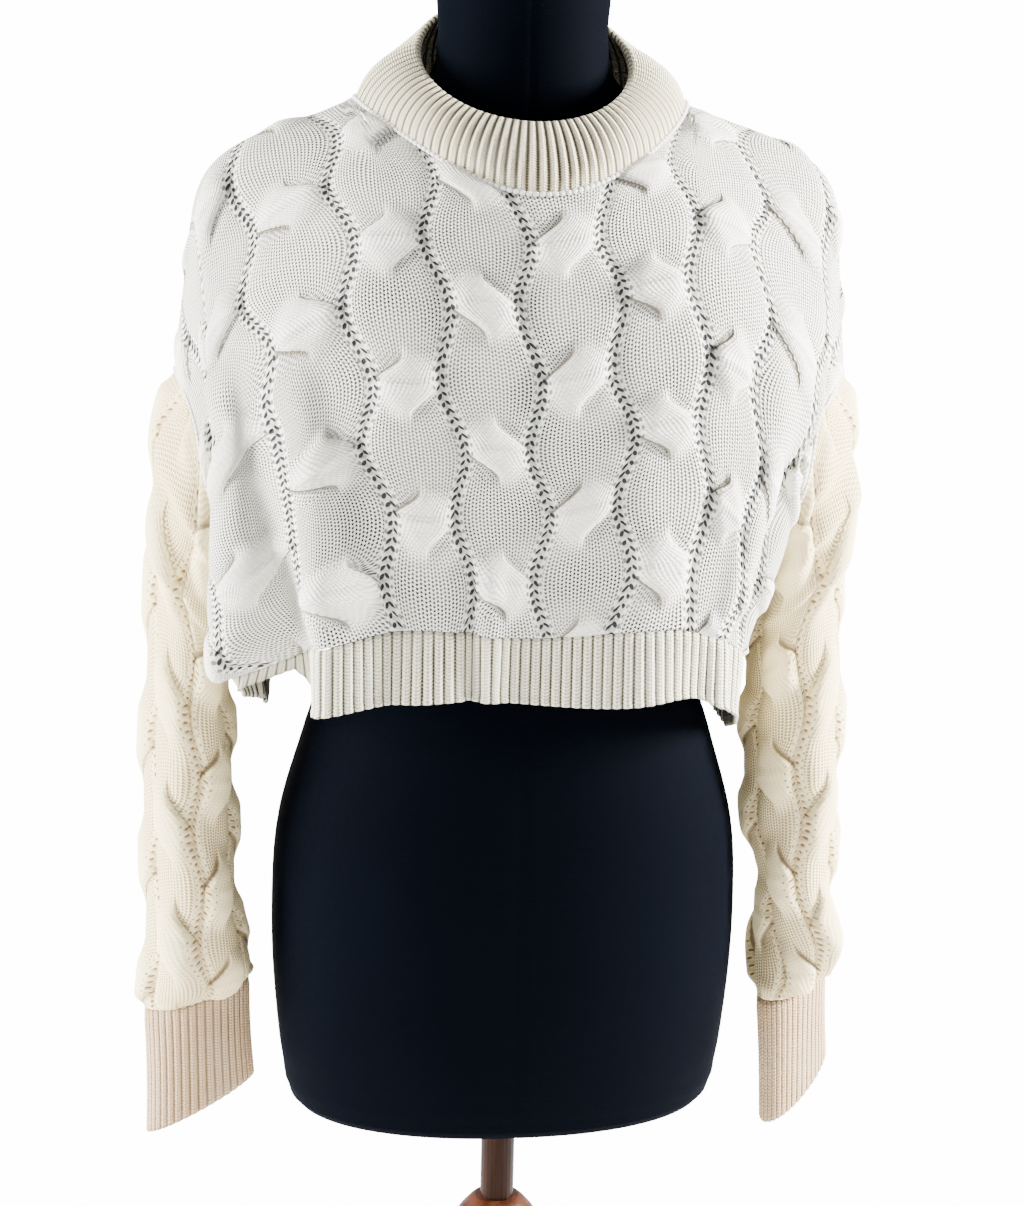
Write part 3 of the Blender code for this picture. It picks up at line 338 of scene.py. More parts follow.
# %% Folds
# Soft folds of the hanging knitting: a ridge (+) or trough (-) from one flat point to another.
FOLDS = (
    # from across, from down, to across, to down, width, height
    (-275, 150, -150, 250, 14, -4),
    (-300, 110, -200, 190, 13, 5),
    (170, 170, 150, 380, 18, 6),
    (205, 200, 178, 380, 15, -7),
    (285, 110, 190, 200, 14, 4),
    (270, 160, 160, 270, 14, -4),
    (-62, 330, -60, 400, 9, 4),
    (-78, 330, -76, 400, 8, -4),
    (40, 250, 60, 380, 22, 3),
    (-130, -150, -60, -380, 20, 6),
    (-90, -180, -20, -380, 18, -5),
    (120, -140, 90, -380, 22, 6),
    (60, -200, 40, -380, 18, -5),
    (-210, -170, -170, -380, 16, 8),
    (215, -180, 180, -380, 16, 7),
    (0, -60, 0, -160, 40, -4),
)
FOLD_END = 0.35            # share of a fold's length over which each of its ends fades
FOLD_CLEAR_SIDE, FOLD_CLEAR_SHOULDER = 0.045, 0.05     # where the folds have faded out
BAG_LINES = (-172, -184, -198, -236, -272)
BAG_SLANT = 0.10           # the lines start this much further out for each metre higher up
BAG_EDGES = (-110, -140, -316, -346)
BAG_TOP = (90, 140)
BAG_MOVES = (
    # down, then x, y and z of the ridge, the trough, the crest, the bag and the flank
    (215, 5, -8, 0, 0, 5, 0, 0, -3, 0, 0, 0, 0, 0, 0, 0),
    (265, 5, -8, 0, 2, 7, 0, 0, -3, 0, 0, 0, 0, -2, 0, 0),
    (320, -5, -8, 0, 2, 11, -2, 2, 3, -4, -2, -2, 0, -8, -2, 5),
    (352, -14, -9, 0, 0, 15, -2, 4, 14, 0, -7, 0, -14, -9, 2, -3),
    (373, -13, -11, -2, 0, 7, -1, 14, 21, -2, -3, 18, -7, 0, 18, 2),
)

# %% The body surface
def body_course(down):
    flat = BODY_TABLE.reshape(len(BODY_TABLE), -1)
    return curve_through(COURSE_KNOTS, flat, down).reshape(down.shape + BODY_TABLE.shape[1:])


def bag(across, down):
    """How far the left front's bag and ridge lie from the plain body."""
    rows = np.array(BAG_MOVES) * MM
    moves = np.zeros((len(rows) + 2, len(BAG_LINES) + 4, 3))
    moves[2:, 2:-2] = rows[:, 1:].reshape(len(rows), len(BAG_LINES), 3)
    courses = np.concatenate([np.array(BAG_TOP) * MM, rows[:, 0]])
    lines = np.array(sorted(BAG_LINES + BAG_EDGES)) * MM
    at_course = curve_through(courses, moves.reshape(len(moves), -1), np.clip(down, courses[0], courses[-1]))
    at_course = at_course.reshape(np.shape(down) + moves.shape[1:])[..., ::-1, :]
    slanted = np.clip(across + BAG_SLANT * (courses[-1] - down), lines[0], lines[-1])
    return curve_through(lines, at_course, slanted) * (down > courses[0])[..., None]


def bare_body(across, down):
    """The body surface without its folds; below the underarm the front and back share their side seam."""
    drift = LEAN * smooth_step(down / PANEL_DROP) * (1 - (across / PANEL_HALF) ** 2)
    course = body_course(down)
    shared = (course + body_course(-down)) / 2
    below_arm = (np.abs(down) > ARMHOLE_DROP)[..., None]
    for edge in (0, -1):
        course[..., edge, :] = np.where(below_arm, shared[..., edge, :], course[..., edge, :])
    return curve_through(ACROSS_KNOTS, course, across + drift) + bag(across, down)


def facing(surface, across, down):
    """Unit vectors out of a surface, by small steps across it and down it."""
    step = 0.0015
    along = surface(across + step, down) - surface(across - step, down)
    fall = surface(across, down + step) - surface(across, down - step)
    return unit(np.cross(fall, along))


def fold_height(across, down):
    total = np.zeros(np.broadcast(across, down).shape)
    for row in FOLDS:
        x0, y0, x1, y1, width, height = (value * MM for value in row)
        length = math.hypot(x1 - x0, y1 - y0)
        ux, uy = (x1 - x0) / length, (y1 - y0) / length
        along = (across - x0) * ux + (down - y0) * uy
        aside = (across - x0) * uy - (down - y0) * ux
        start, end = along / (FOLD_END * length), (length - along) / (FOLD_END * length)
        ends = smooth_step(start + 0.5) * smooth_step(end + 0.5)
        total = total + height * np.exp(-((aside / width) ** 2)) * ends
    edge = smooth_step((PANEL_HALF - np.abs(across)) / FOLD_CLEAR_SIDE)
    over_shoulder = smooth_step(np.abs(down) / FOLD_CLEAR_SHOULDER)
    return total * edge * over_shoulder


def body(across, down):
    """The middle of the knitted wall, folded and held clear of the form."""
    across, down = np.broadcast_arrays(np.asarray(across, float), np.asarray(down, float))
    points = bare_body(across, down)
    out = facing(bare_body, across, down)
    points = points + out * fold_height(across, down)[..., None]
    for _ in range(3):
        lack = HALF_WALL + REST_GAP - form_clearance(points)
        points = points + out * np.clip(lack, 0, 0.03)[..., None]
    return points


def neckline(across, depth):
    inside = np.clip(1 - np.abs(across / NECK_HALF) ** NECK_POWER, 0, 1)
    return depth * np.sqrt(inside)


# %% [markdown]
# ## The cable pattern
# A column of knitting crosses itself every few centimetres: its left half passes over its right half or
# the other way round. Between two columns an openwork ladder swings from side to side. All of this is
# worked out from a column's pitch and the repeat, in the flat pattern's own coordinates.

# %% Pattern sizes
TAUT_LADDER = -0.180       # the front ladder this far across is pulled straight by the left bag,
TAUT_WIDTH = 0.030         # with what lies this near it,
TAUT_FROM = 0.170          # from this course
TAUT_FADE = 0.050          # and fully this much lower
LADDER_WAVE = 0.0065       # how far an openwork ladder swings to each side
LADDER_DIP = 0.0012
LEAF_PUFF = 0.0007
CROSSING_LIFT = 0.0042
CROSSING_LONG = 0.018      # a strand's edge leaves or meets the column's middle this far from the crossing
CROSSING_KINK = 0.002      # and meets the ladder this far on the other side of it
CROSSING_REACH = 0.027     # beyond which the strand has sunk back into its leaf
CROSSING_EDGE = 0.0035     # the over strand's edge falls off over this width
UNDER_DIP = 0.0010
EDGE_FADE = 0.010          # the relief dies away this far from a seam
UNDERARM_FADE = 0.085      # and from the underarm, where the cloth is bunched
# Where the knitted pattern is dragged on the front: towards +X and down, about a flat point.
KNIT_SHIFTS = (
    # across, down, wide, long, moved aside, moved down
    (-108, 200, 42, 300, 0, 20),
    (-180, 230, 40, 170, 0, 8),
    (-50, 40, 30, 60, 0, 9),
    (66, 40, 30, 60, 0, 9),
    (-182, 400, 40, 170, 13, 0),
    (-250, 400, 55, 120, 34, 0),
    (95, 340, 34, 70, 7, 0),
    (150, 200, 30, 70, -6, 0),
    (205, 300, 36, 90, -14, 0),
)
WALES = 28                 # stitches from the middle of one ladder to the next
COURSE_HEIGHT = 0.0024
LADDER_ROW = 0.0054        # from one hole of a ladder to the next

# %% Pattern formulas
def knit_place(across, down, side):
    """Coordinates in the pattern: columns lie at whole pitches, and even ones cross at whole repeats."""
    aside, drop = 0.0, 0.0
    for row in KNIT_SHIFTS:
        x0, y0, wide, long, over, fall = (value * MM for value in row)
        weight = np.exp(-(((across - x0) / wide) ** 2) - ((down - y0) / long) ** 2) * (side > 0)
        aside, drop = aside + over * weight, drop + fall * weight
    y = side * down - drop - CABLE_PHASE
    taut = np.exp(-(((across - TAUT_LADDER) / TAUT_WIDTH) ** 2)) * smooth_step((down - TAUT_FROM) / TAUT_FADE)
    aside = aside + taut * LADDER_WAVE * np.cos(TURN * y / CABLE_REPEAT)
    return across - aside - CABLE_MIDDLE, y


def half_column(y, column):
    """Half a column's width: it is narrowest at its crossings, where the ladders swing in."""
    phase = TURN * (y / CABLE_REPEAT - np.mod(column, 2) / 2)
    return CABLE_PITCH / 2 - LADDER_WAVE * np.cos(phase)


def column_share(x, y):
    """The column that a place lies in, and how far it is from the column's middle to its edge."""
    nearest = np.rint(x / CABLE_PITCH)
    chosen, best = nearest, np.full(np.shape(nearest), 9.0)
    for shift in (-1, 0, 1):
        share = (x - (nearest + shift) * CABLE_PITCH) / half_column(y, nearest + shift)
        closer = np.abs(share) < np.abs(best)
        chosen = np.where(closer, nearest + shift, chosen)
        best = np.where(closer, share, best)
    return chosen, best


def crossing_at(x, y, column, slack=1.0):
    """The top strand's edges at the column's nearest crossing, its mask, and how near it is."""
    long = CROSSING_LONG * slack
    reach = CROSSING_REACH * slack
    odd = np.mod(column, 2)
    below = y - (np.rint(y / CABLE_REPEAT - odd / 2) + odd / 2) * CABLE_REPEAT
    half = half_column(y, column)
    run = long + CROSSING_KINK
    late = smooth_step((below + CROSSING_KINK) / run)
    early = smooth_step((below + long) / run)
    left = np.where(odd == 1, -half * (1 - late), -half * early)
    right = np.where(odd == 1, half * early, half * (1 - late))
    beside = x - column * CABLE_PITCH
    over = smooth_step(np.minimum(beside - left, right - beside) / CROSSING_EDGE + 0.5)
    near = smooth_step((reach - np.hypot(beside, below)) / (0.6 * reach))
    return below, left, right, over, near


def cable_relief(x, y, lift, puff, slack=1.0):
    """Height of the cable pattern over the plain wall."""
    column, share = column_share(x, y)
    leaf = puff * (1 - np.abs(share) ** 3) - LADDER_DIP * np.exp(-(((1 - np.abs(share)) / 0.2) ** 2))
    _, left, right, over, near = crossing_at(x, y, column, slack)
    beside = x - column * CABLE_PITCH
    across_strand = (2 * beside - left - right) / (right - left)
    crown = 0.6 + 0.4 * np.sqrt(np.clip(1 - across_strand**2, 0, 1))
    return leaf + near * (lift * over * crown - UNDER_DIP * (1 - over))


def body_relief(across, down, side):
    """Cable relief of a panel; side is +1 on the front and -1 on the back."""
    relief = cable_relief(*knit_place(across, down, side), CROSSING_LIFT, LEAF_PUFF)
    depth = FRONT_NECK if side > 0 else BACK_NECK
    from_neck = np.hypot(across / NECK_HALF, down / depth) - 1
    from_side, from_hem = PANEL_HALF - np.abs(across), PANEL_DROP - np.abs(down)
    fade = 1
    for distance in (from_side, np.abs(down), from_hem, from_neck * NECK_HALF):
        fade = fade * smooth_step(distance / EDGE_FADE)
    underarm = np.hypot(PANEL_HALF - np.abs(across), ARMHOLE_DROP - np.abs(down))
    return relief * fade * smooth_step((underarm - 0.02) / UNDERARM_FADE)


def pulled_wide(points, x, columns):
    """How much wider the cloth lies across than its flat pattern, at every point of a grid."""
    grid, flat = points.reshape(-1, columns + 1, 3), x.reshape(-1, columns + 1)
    run = np.linalg.norm(np.gradient(grid, axis=1), axis=-1)
    ratio = run / np.maximum(np.abs(np.gradient(flat, axis=1)), 1e-6)
    for _ in range(6):
        ratio[:, 1:-1] = (ratio[:, :-2] + 2 * ratio[:, 1:-1] + ratio[:, 2:]) / 4
        ratio[1:-1] = (ratio[:-2] + 2 * ratio[1:-1] + ratio[2:]) / 4
    return np.clip(ratio, 0.5, 2.0).ravel()


def stitch_place(x, y, middle_x, middle_y, wide, slack=1.0):
    """Wale and course numbers of points, with the strand that their face's middle lies in."""
    column, _ = column_share(middle_x, middle_y)
    beside = x - column * CABLE_PITCH
    _, left, right, _, _ = crossing_at(x, y, column, slack)
    below, _, _, over, _ = crossing_at(middle_x, middle_y, column, slack)
    on_top = (beside - left) / (right - left)
    beneath = (beside + right) / (right - left)
    crossed = np.where(over > 0.5, on_top, beneath)
    share = np.where(np.abs(below) < CROSSING_LONG * slack, crossed, beside / half_column(y, column))
    return (column + share * wide / 2) * WALES, y / COURSE_HEIGHT


def ladder_place(x, y, middle_x, middle_y, wide):
    """Distance in millimetres from the nearest ladder's middle, and holes counted along it."""
    column, share = column_share(middle_x, middle_y)
    left = np.where(share < 0, column - 1, column)
    line = left * CABLE_PITCH + half_column(y, left)
    return (x - line) * wide / MM, y / LADDER_ROW + left * 0.37


# A strand's edge shows from this far on one side of its crossing to this far on the other.
SHOWS_FAR, SHOWS_NEAR = 0.025, 0.005
SHOWS_FADE = 0.010         # it fades over this length at the far end


def strand_edges(x, y, slack=1.0):
    """How far in millimetres a point lies inside each edge of the strand on top, and how much that shows."""
    column, _ = column_share(x, y)
    beside = x - column * CABLE_PITCH
    below, left, right, over, near = crossing_at(x, y, column, slack)
    below = below / slack
    early = smooth_step((below + SHOWS_FAR) / SHOWS_FADE) * smooth_step((SHOWS_NEAR - below) / SHOWS_NEAR)
    late = smooth_step((below + SHOWS_NEAR) / SHOWS_NEAR) * smooth_step((SHOWS_FAR - below) / SHOWS_FADE)
    odd = np.mod(column, 2) == 1
    return {
        "over": over * near,
        "crease": (beside - left) / MM, "crease_shows": np.where(odd, late, early),
        "ridge": (right - beside) / MM, "ridge_shows": np.where(odd, early, late),
    }


# %% Sleeves and cuffs
SLEEVE_LEAVES = 6          # cable columns round a sleeve
SLEEVE_RADIUS = 0.055
SLEEVE_LENGTH = 0.40       # from the armhole seam to the cuff, flat
SLEEVE_PHASE = 0.03        # where its columns first cross, down from the armhole seam
CUFF_PINCH = 0.03          # how much narrower a cuff is halfway down
SLEEVE_LIFT = 0.0056
SLEEVE_PUFF = 0.0028
SLEEVE_SLACK = 1.4         # the sleeve's cables cross over this much longer a run than the body's
# Folded bands that cross the front of a sleeve's head, each with a sharp lower edge.
SLEEVE_BANDS = (
    # side, place on the front as a share, slope for each quarter turn, long, height in mm
    (-1, 0.075, -0.02, 0.035, 4.5),
    (-1, 0.190, 0.03, 0.030, 3.0),
    (1, 0.045, -0.04, 0.030, 4.0),
    (1, 0.105, -0.04, 0.030, 4.0),
    (1, 0.180, -0.03, 0.030, 3.5),
)
BAND_ENDS = (10, 30, 145, 165)     # degrees at which a band begins, is full, starts to fade and ends
SLEEVE_COLUMNS = ("share", "height", "out", "back", "half_width", "half_depth", "turn", "tilt")
SLEEVE_LEFT = (
    (0.10, 1157, 221, 11, 20, 68, 1, 58),
    (0.24, 1093, 224, 19, 22, 60, 0, 40),
    (0.44, 1012, 226, 18, 25, 56, -4, 20),
    (0.62, 941, 226.5, 13, 27, 52, -6, 10),
    (0.80, 872, 224.5, 9, 28, 48, -8, 4),
    (0.92, 828, 222, 7, 33.5, 38, -8, -6),
    (1.00, 808, 222, 5, 36, 19, -8, -10),
)
SLEEVE_RIGHT = (
    (0.10, 1157, 208, 12, 27, 68, -4, 58),
    (0.24, 1093, 208, 20, 26, 60, -6, 40),
    (0.44, 1012, 211, 17, 29, 54, -6, 20),
    (0.62, 941, 212.5, 12, 27.5, 50, -6, 10),
    (0.80, 872, 218.5, 8, 20.5, 45, -6, 3),
    (0.92, 828, 220, 6, 24, 34, 20, 4),
    (1.00, 804, 218, 4, 32, 16, 40, 6),
)
CUFF_COLUMNS = ("height", "out", "back", "half_width", "half_depth", "turn", "tilt")
CUFF_ENDS = {
    "left": (722, 220, 2, 37.5, 13, -8, -19),
    "right": (722, 223, 2, 32, 13, 40, 20),
}
SLEEVE_FOLDS = (
    # angle in degrees, place down the sleeve, lean, width in degrees, length as a share, height in mm
    (60, 0.16, 40, 26, 0.10, 5),
    (120, 0.26, 30, 24, 0.10, -4),
    (80, 0.50, -30, 24, 0.12, 4),
    (130, 0.66, 30, 22, 0.12, -4),
    (60, 0.86, 20, 22, 0.08, 4),
    (110, 0.93, 0, 20, 0.05, -4),
    (250, 0.30, 30, 26, 0.12, 5),
    (290, 0.55, -30, 24, 0.14, -4),
    (240, 0.80, 20, 26, 0.12, 5),
)


def armhole_edge(side, angles):
    """The armhole edge: its front half for the first half turn, then its back half."""
    turned = np.mod(angles, TURN)
    down = np.where(turned <= math.pi, turned / math.pi, turned / math.pi - 2) * ARMHOLE_DROP
    return body(np.full(turned.shape, side * PANEL_HALF), down)


def ring(centre, half_width, half_depth, turn, tilt, side, angles):
    """A ring round an arm: angle 0 points away from the body and a quarter turn is the front."""
    turn = math.radians(turn) * side
    x = half_width * np.cos(angles) * side
    y = -half_depth * np.sin(angles)
    across = x * math.cos(turn) - y * math.sin(turn)
    along = x * math.sin(turn) + y * math.cos(turn)
    lift = tilt * MM * np.cos(angles)
    return np.stack([centre[0] * side + across, centre[1] + along, centre[2] + lift], axis=-1)


def sleeve_rows(side):
    return SLEEVE_LEFT if side < 0 else SLEEVE_RIGHT


def sleeve(side, angles, share):
    """The middle of a sleeve's wall, share 0 at the armhole and 1 at the cuff."""
    rings = [armhole_edge(side, angles)]
    knots = [0.0]
    for row in sleeve_rows(side):
        size = dict(zip(SLEEVE_COLUMNS, row))
        centre = np.array([size["out"], size["back"], size["height"]]) * MM
        half_width, half_depth = size["half_width"] * MM, size["half_depth"] * MM
        rings.append(ring(centre, half_width, half_depth, size["turn"], size["tilt"], side, angles))
        knots.append(size["share"])
    net = np.stack(rings, axis=-2)
    return curve_through(np.array(knots), net, share)


def sleeve_facing(side, angles, share):
    step = 0.01
    low = np.clip(share - step, 0, 1)
    high = np.clip(share + step, 0, 1)
    fall = sleeve(side, angles, high) - sleeve(side, angles, low)
    run = sleeve(side, angles + step, share) - sleeve(side, angles - step, share)
    return unit(np.cross(run, fall)) * side


def sleeve_pattern(angles, share):
    """Coordinates of a sleeve's pattern, with a whole number of columns round it."""
    around = angles * SLEEVE_LEAVES / TURN
    return around * CABLE_PITCH, share * SLEEVE_LENGTH - SLEEVE_PHASE


def sleeve_bands(side, angles, share):
    start, full, fading, end = (math.radians(value) for value in BAND_ENDS)
    turned = np.mod(angles, TURN)
    shows = smooth_step((turned - start) / (full - start)) * smooth_step((end - turned) / (end - fading))
    total = np.zeros(shows.shape)
    for band_side, place, slope, long, height in SLEEVE_BANDS:
        below = share - place - slope * (turned / (math.pi / 2) - 1)
        fall = np.where(below < 0, long, 0.35 * long)
        total = total + (band_side == side) * height * MM * np.exp(-((below / fall) ** 2))
    return total * shows * smooth_step(share / 0.04)


def sleeve_relief(side, angles, share):
    """Height of the cables, deeper than the body's because a sleeve hangs unstretched, and of the folds."""
    knit = cable_relief(*sleeve_pattern(angles, share), SLEEVE_LIFT, SLEEVE_PUFF, SLEEVE_SLACK)
    knit = knit * smooth_step(share / 0.03) * smooth_step((1 - share) / 0.03)
    from_underarm = np.hypot((angles - math.pi) * SLEEVE_RADIUS, share * SLEEVE_LENGTH)
    bunched = smooth_step((from_underarm - 0.02) / UNDERARM_FADE)
    knit = knit * bunched
    total = np.zeros(knit.shape)
    for angle, place, lean, width, long, height in SLEEVE_FOLDS:
        below = share - place
        centre = math.radians(angle) + math.radians(lean) * below / long
        beside = np.mod(angles - centre + math.pi, TURN) - math.pi
        total = total + height * MM * np.exp(-((beside / math.radians(width)) ** 2) - (below / long) ** 2)
    ends = smooth_step(share / 0.12) * smooth_step((1 - share) / 0.06)
    return knit, (total * ends + sleeve_bands(side, angles, share)) * bunched


def cuff(side, angles, share):
    top = sleeve_rows(side)[-1]
    size = dict(zip(SLEEVE_COLUMNS, top))
    first = [size[key] for key in CUFF_COLUMNS]
    last = CUFF_ENDS["left" if side < 0 else "right"]
    height, out, back, half_width, half_depth, turn, tilt = (a + (b - a) * share for a, b in zip(first, last))
    pinch = 1 - CUFF_PINCH * math.sin(math.pi * share)
    centre = np.array([out, back, height]) * MM
    return ring(centre, half_width * MM * pinch, half_depth * MM * pinch, turn, tilt, side, angles)


def cuff_out(side, angles, share):
    """Unit vectors out of the cuff, in the plane of its ring."""
    quarter = cuff(side, np.array([0.0, math.pi / 2, math.pi, 3 * math.pi / 2]), share)
    axis = unit(np.cross(quarter[0] - quarter[2], quarter[1] - quarter[3]))
    step = 0.01
    run = cuff(side, angles + step, share) - cuff(side, angles - step, share)
    return unit(np.cross(run, axis))


# %% [markdown]
# ## From a flat grid to a piece of cloth
# A grid primitive is the flat cut. Its points are carried to their places by one of the functions above,
# its UV maps keep each corner's place in the knitting, and Solidify gives the sheet its thickness.

# %% Grid helper
def sheet_grid(name, columns, rows):
    """A flat grid from 0 to 1 both ways, with the places of its points; the second runs downwards."""
    bpy.ops.object.select_all(action="DESELECT")
    bpy.ops.mesh.primitive_grid_add(x_subdivisions=columns, y_subdivisions=rows, size=1)
    piece = bpy.context.object
    piece.name = name
    flat = np.empty(len(piece.data.vertices) * 3)
    piece.data.vertices.foreach_get("co", flat)
    flat = flat.reshape(-1, 3)
    return piece, flat[:, 0] + 0.5, 0.5 - flat[:, 1]


def place_points(piece, points):
    piece.data.vertices.foreach_set("co", np.ascontiguousarray(points, dtype=np.float32).ravel())
    piece.data.update()


def write_map(piece, name, values):
    """Write a UV map from values[corner, 2]."""
    layer = piece.data.uv_layers.new(name=name)
    layer.data.foreach_set("uv", np.ascontiguousarray(values, dtype=np.float32).ravel())


def corners(piece, *values):
    """Each point's value at the four corners of every face, and its mean over the face."""
    index = np.empty(len(piece.data.loops), dtype=np.int32)
    piece.data.loops.foreach_get("vertex_index", index)
    at = [value[index].reshape(-1, 4) for value in values]
    return at, [np.broadcast_to(v.mean(axis=1, keepdims=True), v.shape) for v in at]


def point_value(piece, name, values):
    layer = piece.data.attributes.new(name, "FLOAT", "POINT")
    layer.data.foreach_set("value", np.ascontiguousarray(values, dtype=np.float32))


def write_rib_map(piece, rib, course):
    """The rib's UV map: whole numbers across are the middles of valleys, and courses run along the rib."""
    write_map(piece, "knit", np.stack(corners(piece, rib, course)[0], axis=-1))


def open_for_edit(piece, select="SELECT"):
    """Edit mode on one piece alone, with all of its parts selected or none of them."""
    bpy.ops.object.select_all(action="DESELECT")
    bpy.context.view_layer.objects.active = piece
    piece.select_set(True)
    bpy.ops.object.mode_set(mode="EDIT")
    bpy.ops.mesh.select_all(action=select)


def finish_cloth(piece, thickness, finish, tube=False):
    """Close a tube's seam, give the sheet its thickness and its finish, and let it ride with the rest."""
    for spare in [m for m in piece.data.uv_layers if m.name == "UVMap"]:
        piece.data.uv_layers.remove(spare)
    bpy.context.view_layer.objects.active = piece
    piece.select_set(True)
    if tube:
        open_for_edit(piece)
        bpy.ops.mesh.remove_doubles(threshold=0.00002)
        bpy.ops.object.mode_set(mode="OBJECT")
    if thickness:
        wall = piece.modifiers.new("wall", "SOLIDIFY")
        wall.thickness = thickness
        wall.offset = 0
        bpy.ops.object.modifier_apply(modifier=wall.name)
    bpy.ops.object.shade_smooth()
    piece.data.materials.clear()
    piece.data.materials.append(finish)
    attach(piece, "root")
    bpy.ops.object.select_all(action="DESELECT")
    print(piece.name, len(piece.data.polygons), "faces")


# %% [markdown]
# ## Finishes
# A finish is a small sum over sockets. The class below lets such a sum be written as Python, and every
# other node comes from its one method, so the recipes further down stay short.

# %% Shader sums
class Wire:
    """An output of a node. Sums on it add Math nodes to its tree."""

    def __init__(self, tree, socket=None):
        self.tree = tree
        self.socket = socket

    def node(self, kind, settings=None, inputs=None, output=0):
        made = self.tree.nodes.new(kind)
        for key, value in (settings or {}).items():
            setattr(made, key, value)
        for key, value in (inputs or {}).items():
            if isinstance(value, Wire):
                self.tree.links.new(value.socket, made.inputs[key])
            else:
                made.inputs[key].default_value = value
        return Wire(self.tree, made.outputs[output])

    def math(self, operation, *values):
        return self.node("ShaderNodeMath", {"operation": operation}, dict(enumerate((self,) + values)))

    def __add__(self, other):
        return self.math("ADD", other)

    def __mul__(self, other):
        return self.math("MULTIPLY", other)

    def __sub__(self, other):
        return self.math("SUBTRACT", other)

    def __rsub__(self, other):
        return self.node("ShaderNodeMath", {"operation": "SUBTRACT"}, {0: other, 1: self})

    def __truediv__(self, other):
        return self.math("DIVIDE", other)

    __radd__ = __add__
    __rmul__ = __mul__

    def ease(self, low, high):
        """0 below low and 1 above high, smooth between; low may be the larger."""
        settings = {"interpolation_type": "SMOOTHSTEP"}
        return self.node("ShaderNodeMapRange", settings, {"Value": self, "From Min": low, "From Max": high})

    def blend(self, first, second):
        """Mix of two colours by this value."""
        sockets = {"Factor": self, 6: first, 7: second}
        return self.node("ShaderNodeMix", {"data_type": "RGBA"}, sockets, output=2)

    def largest(self, other):
        return self.math("MAXIMUM", other)


def new_finish(name, roughness, specular=0.5, sheen=0.0, coat=0.0):
    """A material with its Principled shader and a wire to start sums from."""
    finish = bpy.data.materials.new(name)
    finish.use_nodes = True
    shader = finish.node_tree.nodes["Principled BSDF"]
    shader.inputs["Roughness"].default_value = roughness
    shader.inputs["Specular IOR Level"].default_value = specular
    shader.inputs["Sheen Weight"].default_value = sheen
    shader.inputs["Sheen Roughness"].default_value = 0.5
    shader.inputs["Coat Weight"].default_value = coat
    return finish, shader, Wire(finish.node_tree)


def feed(start, shader, socket, wire):
    start.tree.links.new(wire.socket, shader.inputs[socket])


def feed_bump(start, shader, height, strength, distance):
    """Let a height from 0 to 1 tilt the surface; distance is its real size in metres."""
    inputs = {"Strength": strength, "Distance": distance, "Height": height}
    feed(start, shader, "Normal", start.node("ShaderNodeBump", None, inputs))


def places(start):
    """The object's own coordinates, in metres."""
    return start.node("ShaderNodeTexCoord", output=3)


def map_axes(start, name):
    """The two coordinates of one of the piece's own UV maps."""
    uv = start.node("ShaderNodeUVMap", {"uv_map": name})
    return (start.node("ShaderNodeSeparateXYZ", None, {0: uv}, output=k) for k in (0, 1))


def noise(start, scale, detail=2.0, at=None):
    inputs = {"Vector": at or places(start), "Scale": scale, "Detail": detail}
    return start.node("ShaderNodeTexNoise", None, inputs)


# %% [markdown]
# ### Plain knitting
# Seen close, stocking stitch is a row of strands with dotted dark lines between them, one dot to a
# course. The dark is painted: shade between the loops and, on the body, the black form seen through them.
# The strand is a sine across a wale and the dots are a sine along it. Neighbouring wales lean
# opposite ways, so the dots of one line lie half a course below those of the next.

# %% Stitches
def stitches(wale, course):
    """Height of the stitches from 0 to 1, and how much painted dark lies in the gaps between them."""
    in_wale = wale.math("FRACT")
    across = in_wale - 0.5
    lean = (wale * 0.5).math("FRACT").math("GREATER_THAN", 0.5) - 0.5
    from_middle = across.math("ABSOLUTE")
    strand = (in_wale * math.pi).math("SINE")
    bead = ((course + across * lean) * TURN).math("SINE") * 0.5 + 0.5
    dots = (1 - bead).ease(0.18, 0.72) * from_middle.ease(0.02, 0.30)
    line = from_middle.ease(0.20, 0.44)
    height = strand * 0.5 + bead * strand * 0.5
    return height, (line * 0.34 + dots).math("MINIMUM", 1.0)


# A ladder's holes: millimetres from its middle, phase in rows, half width in millimetres and half
# height in rows.
LEFT_HOLE = (-1.9, 0.0, 2.0, 0.29)
RIGHT_HOLE = (1.9, 0.2, 1.85, 0.27)
SMALL_HOLE = (4.9, 0.1, 0.95, 0.27)


def hole(aside, along, place, phase, wide, tall, uneven, lean=0.0):
    """An uneven hole of a ladder, leaning across its row: 1 inside it."""
    across = (aside - place) / wide
    down = ((along + (aside - place) * lean + phase).math("FRACT") - 0.5) / tall
    reach = (across * across + down * down).math("SQRT")
    return (reach + uneven).ease(1.12, 0.72)


def attribute(start, name):
    return start.node("ShaderNodeAttribute", {"attribute_name": name}, output=2)


def crossing_marks(start):
    """Painted shade and a painted dark crease line at one edge of a top strand, the step at both, and a
    fainter painted dark line and a painted highlight at the lit other edge.
    """
    crease, ridge = attribute(start, "crease"), attribute(start, "ridge")
    shows, ridge_shows = attribute(start, "crease_shows"), attribute(start, "ridge_shows")
    # Painted shade on the crease side of a top strand, and a painted shadow line along the crease.
    shade = crease.ease(-9.0, -0.4) * crease.ease(1.4, 0.0) * shows
    line = crease.ease(-2.2, -0.6) * crease.ease(0.9, -0.1) * shows
    step = crease.ease(-0.9, 0.9) * shows + ridge.ease(-0.9, 0.9) * ridge_shows
    # Along the lit edge: a fainter painted shadow line just outside it, and a painted highlight on its crest.
    far_shadow_line = ridge.ease(-1.3, -0.4) * ridge.ease(0.4, -0.2) * ridge_shows
    crest_highlight = ridge.ease(-0.2, 0.7) * ridge.ease(3.2, 1.2) * ridge_shows
    return shade * 0.7, line.largest(far_shadow_line * 0.6), step, crest_highlight


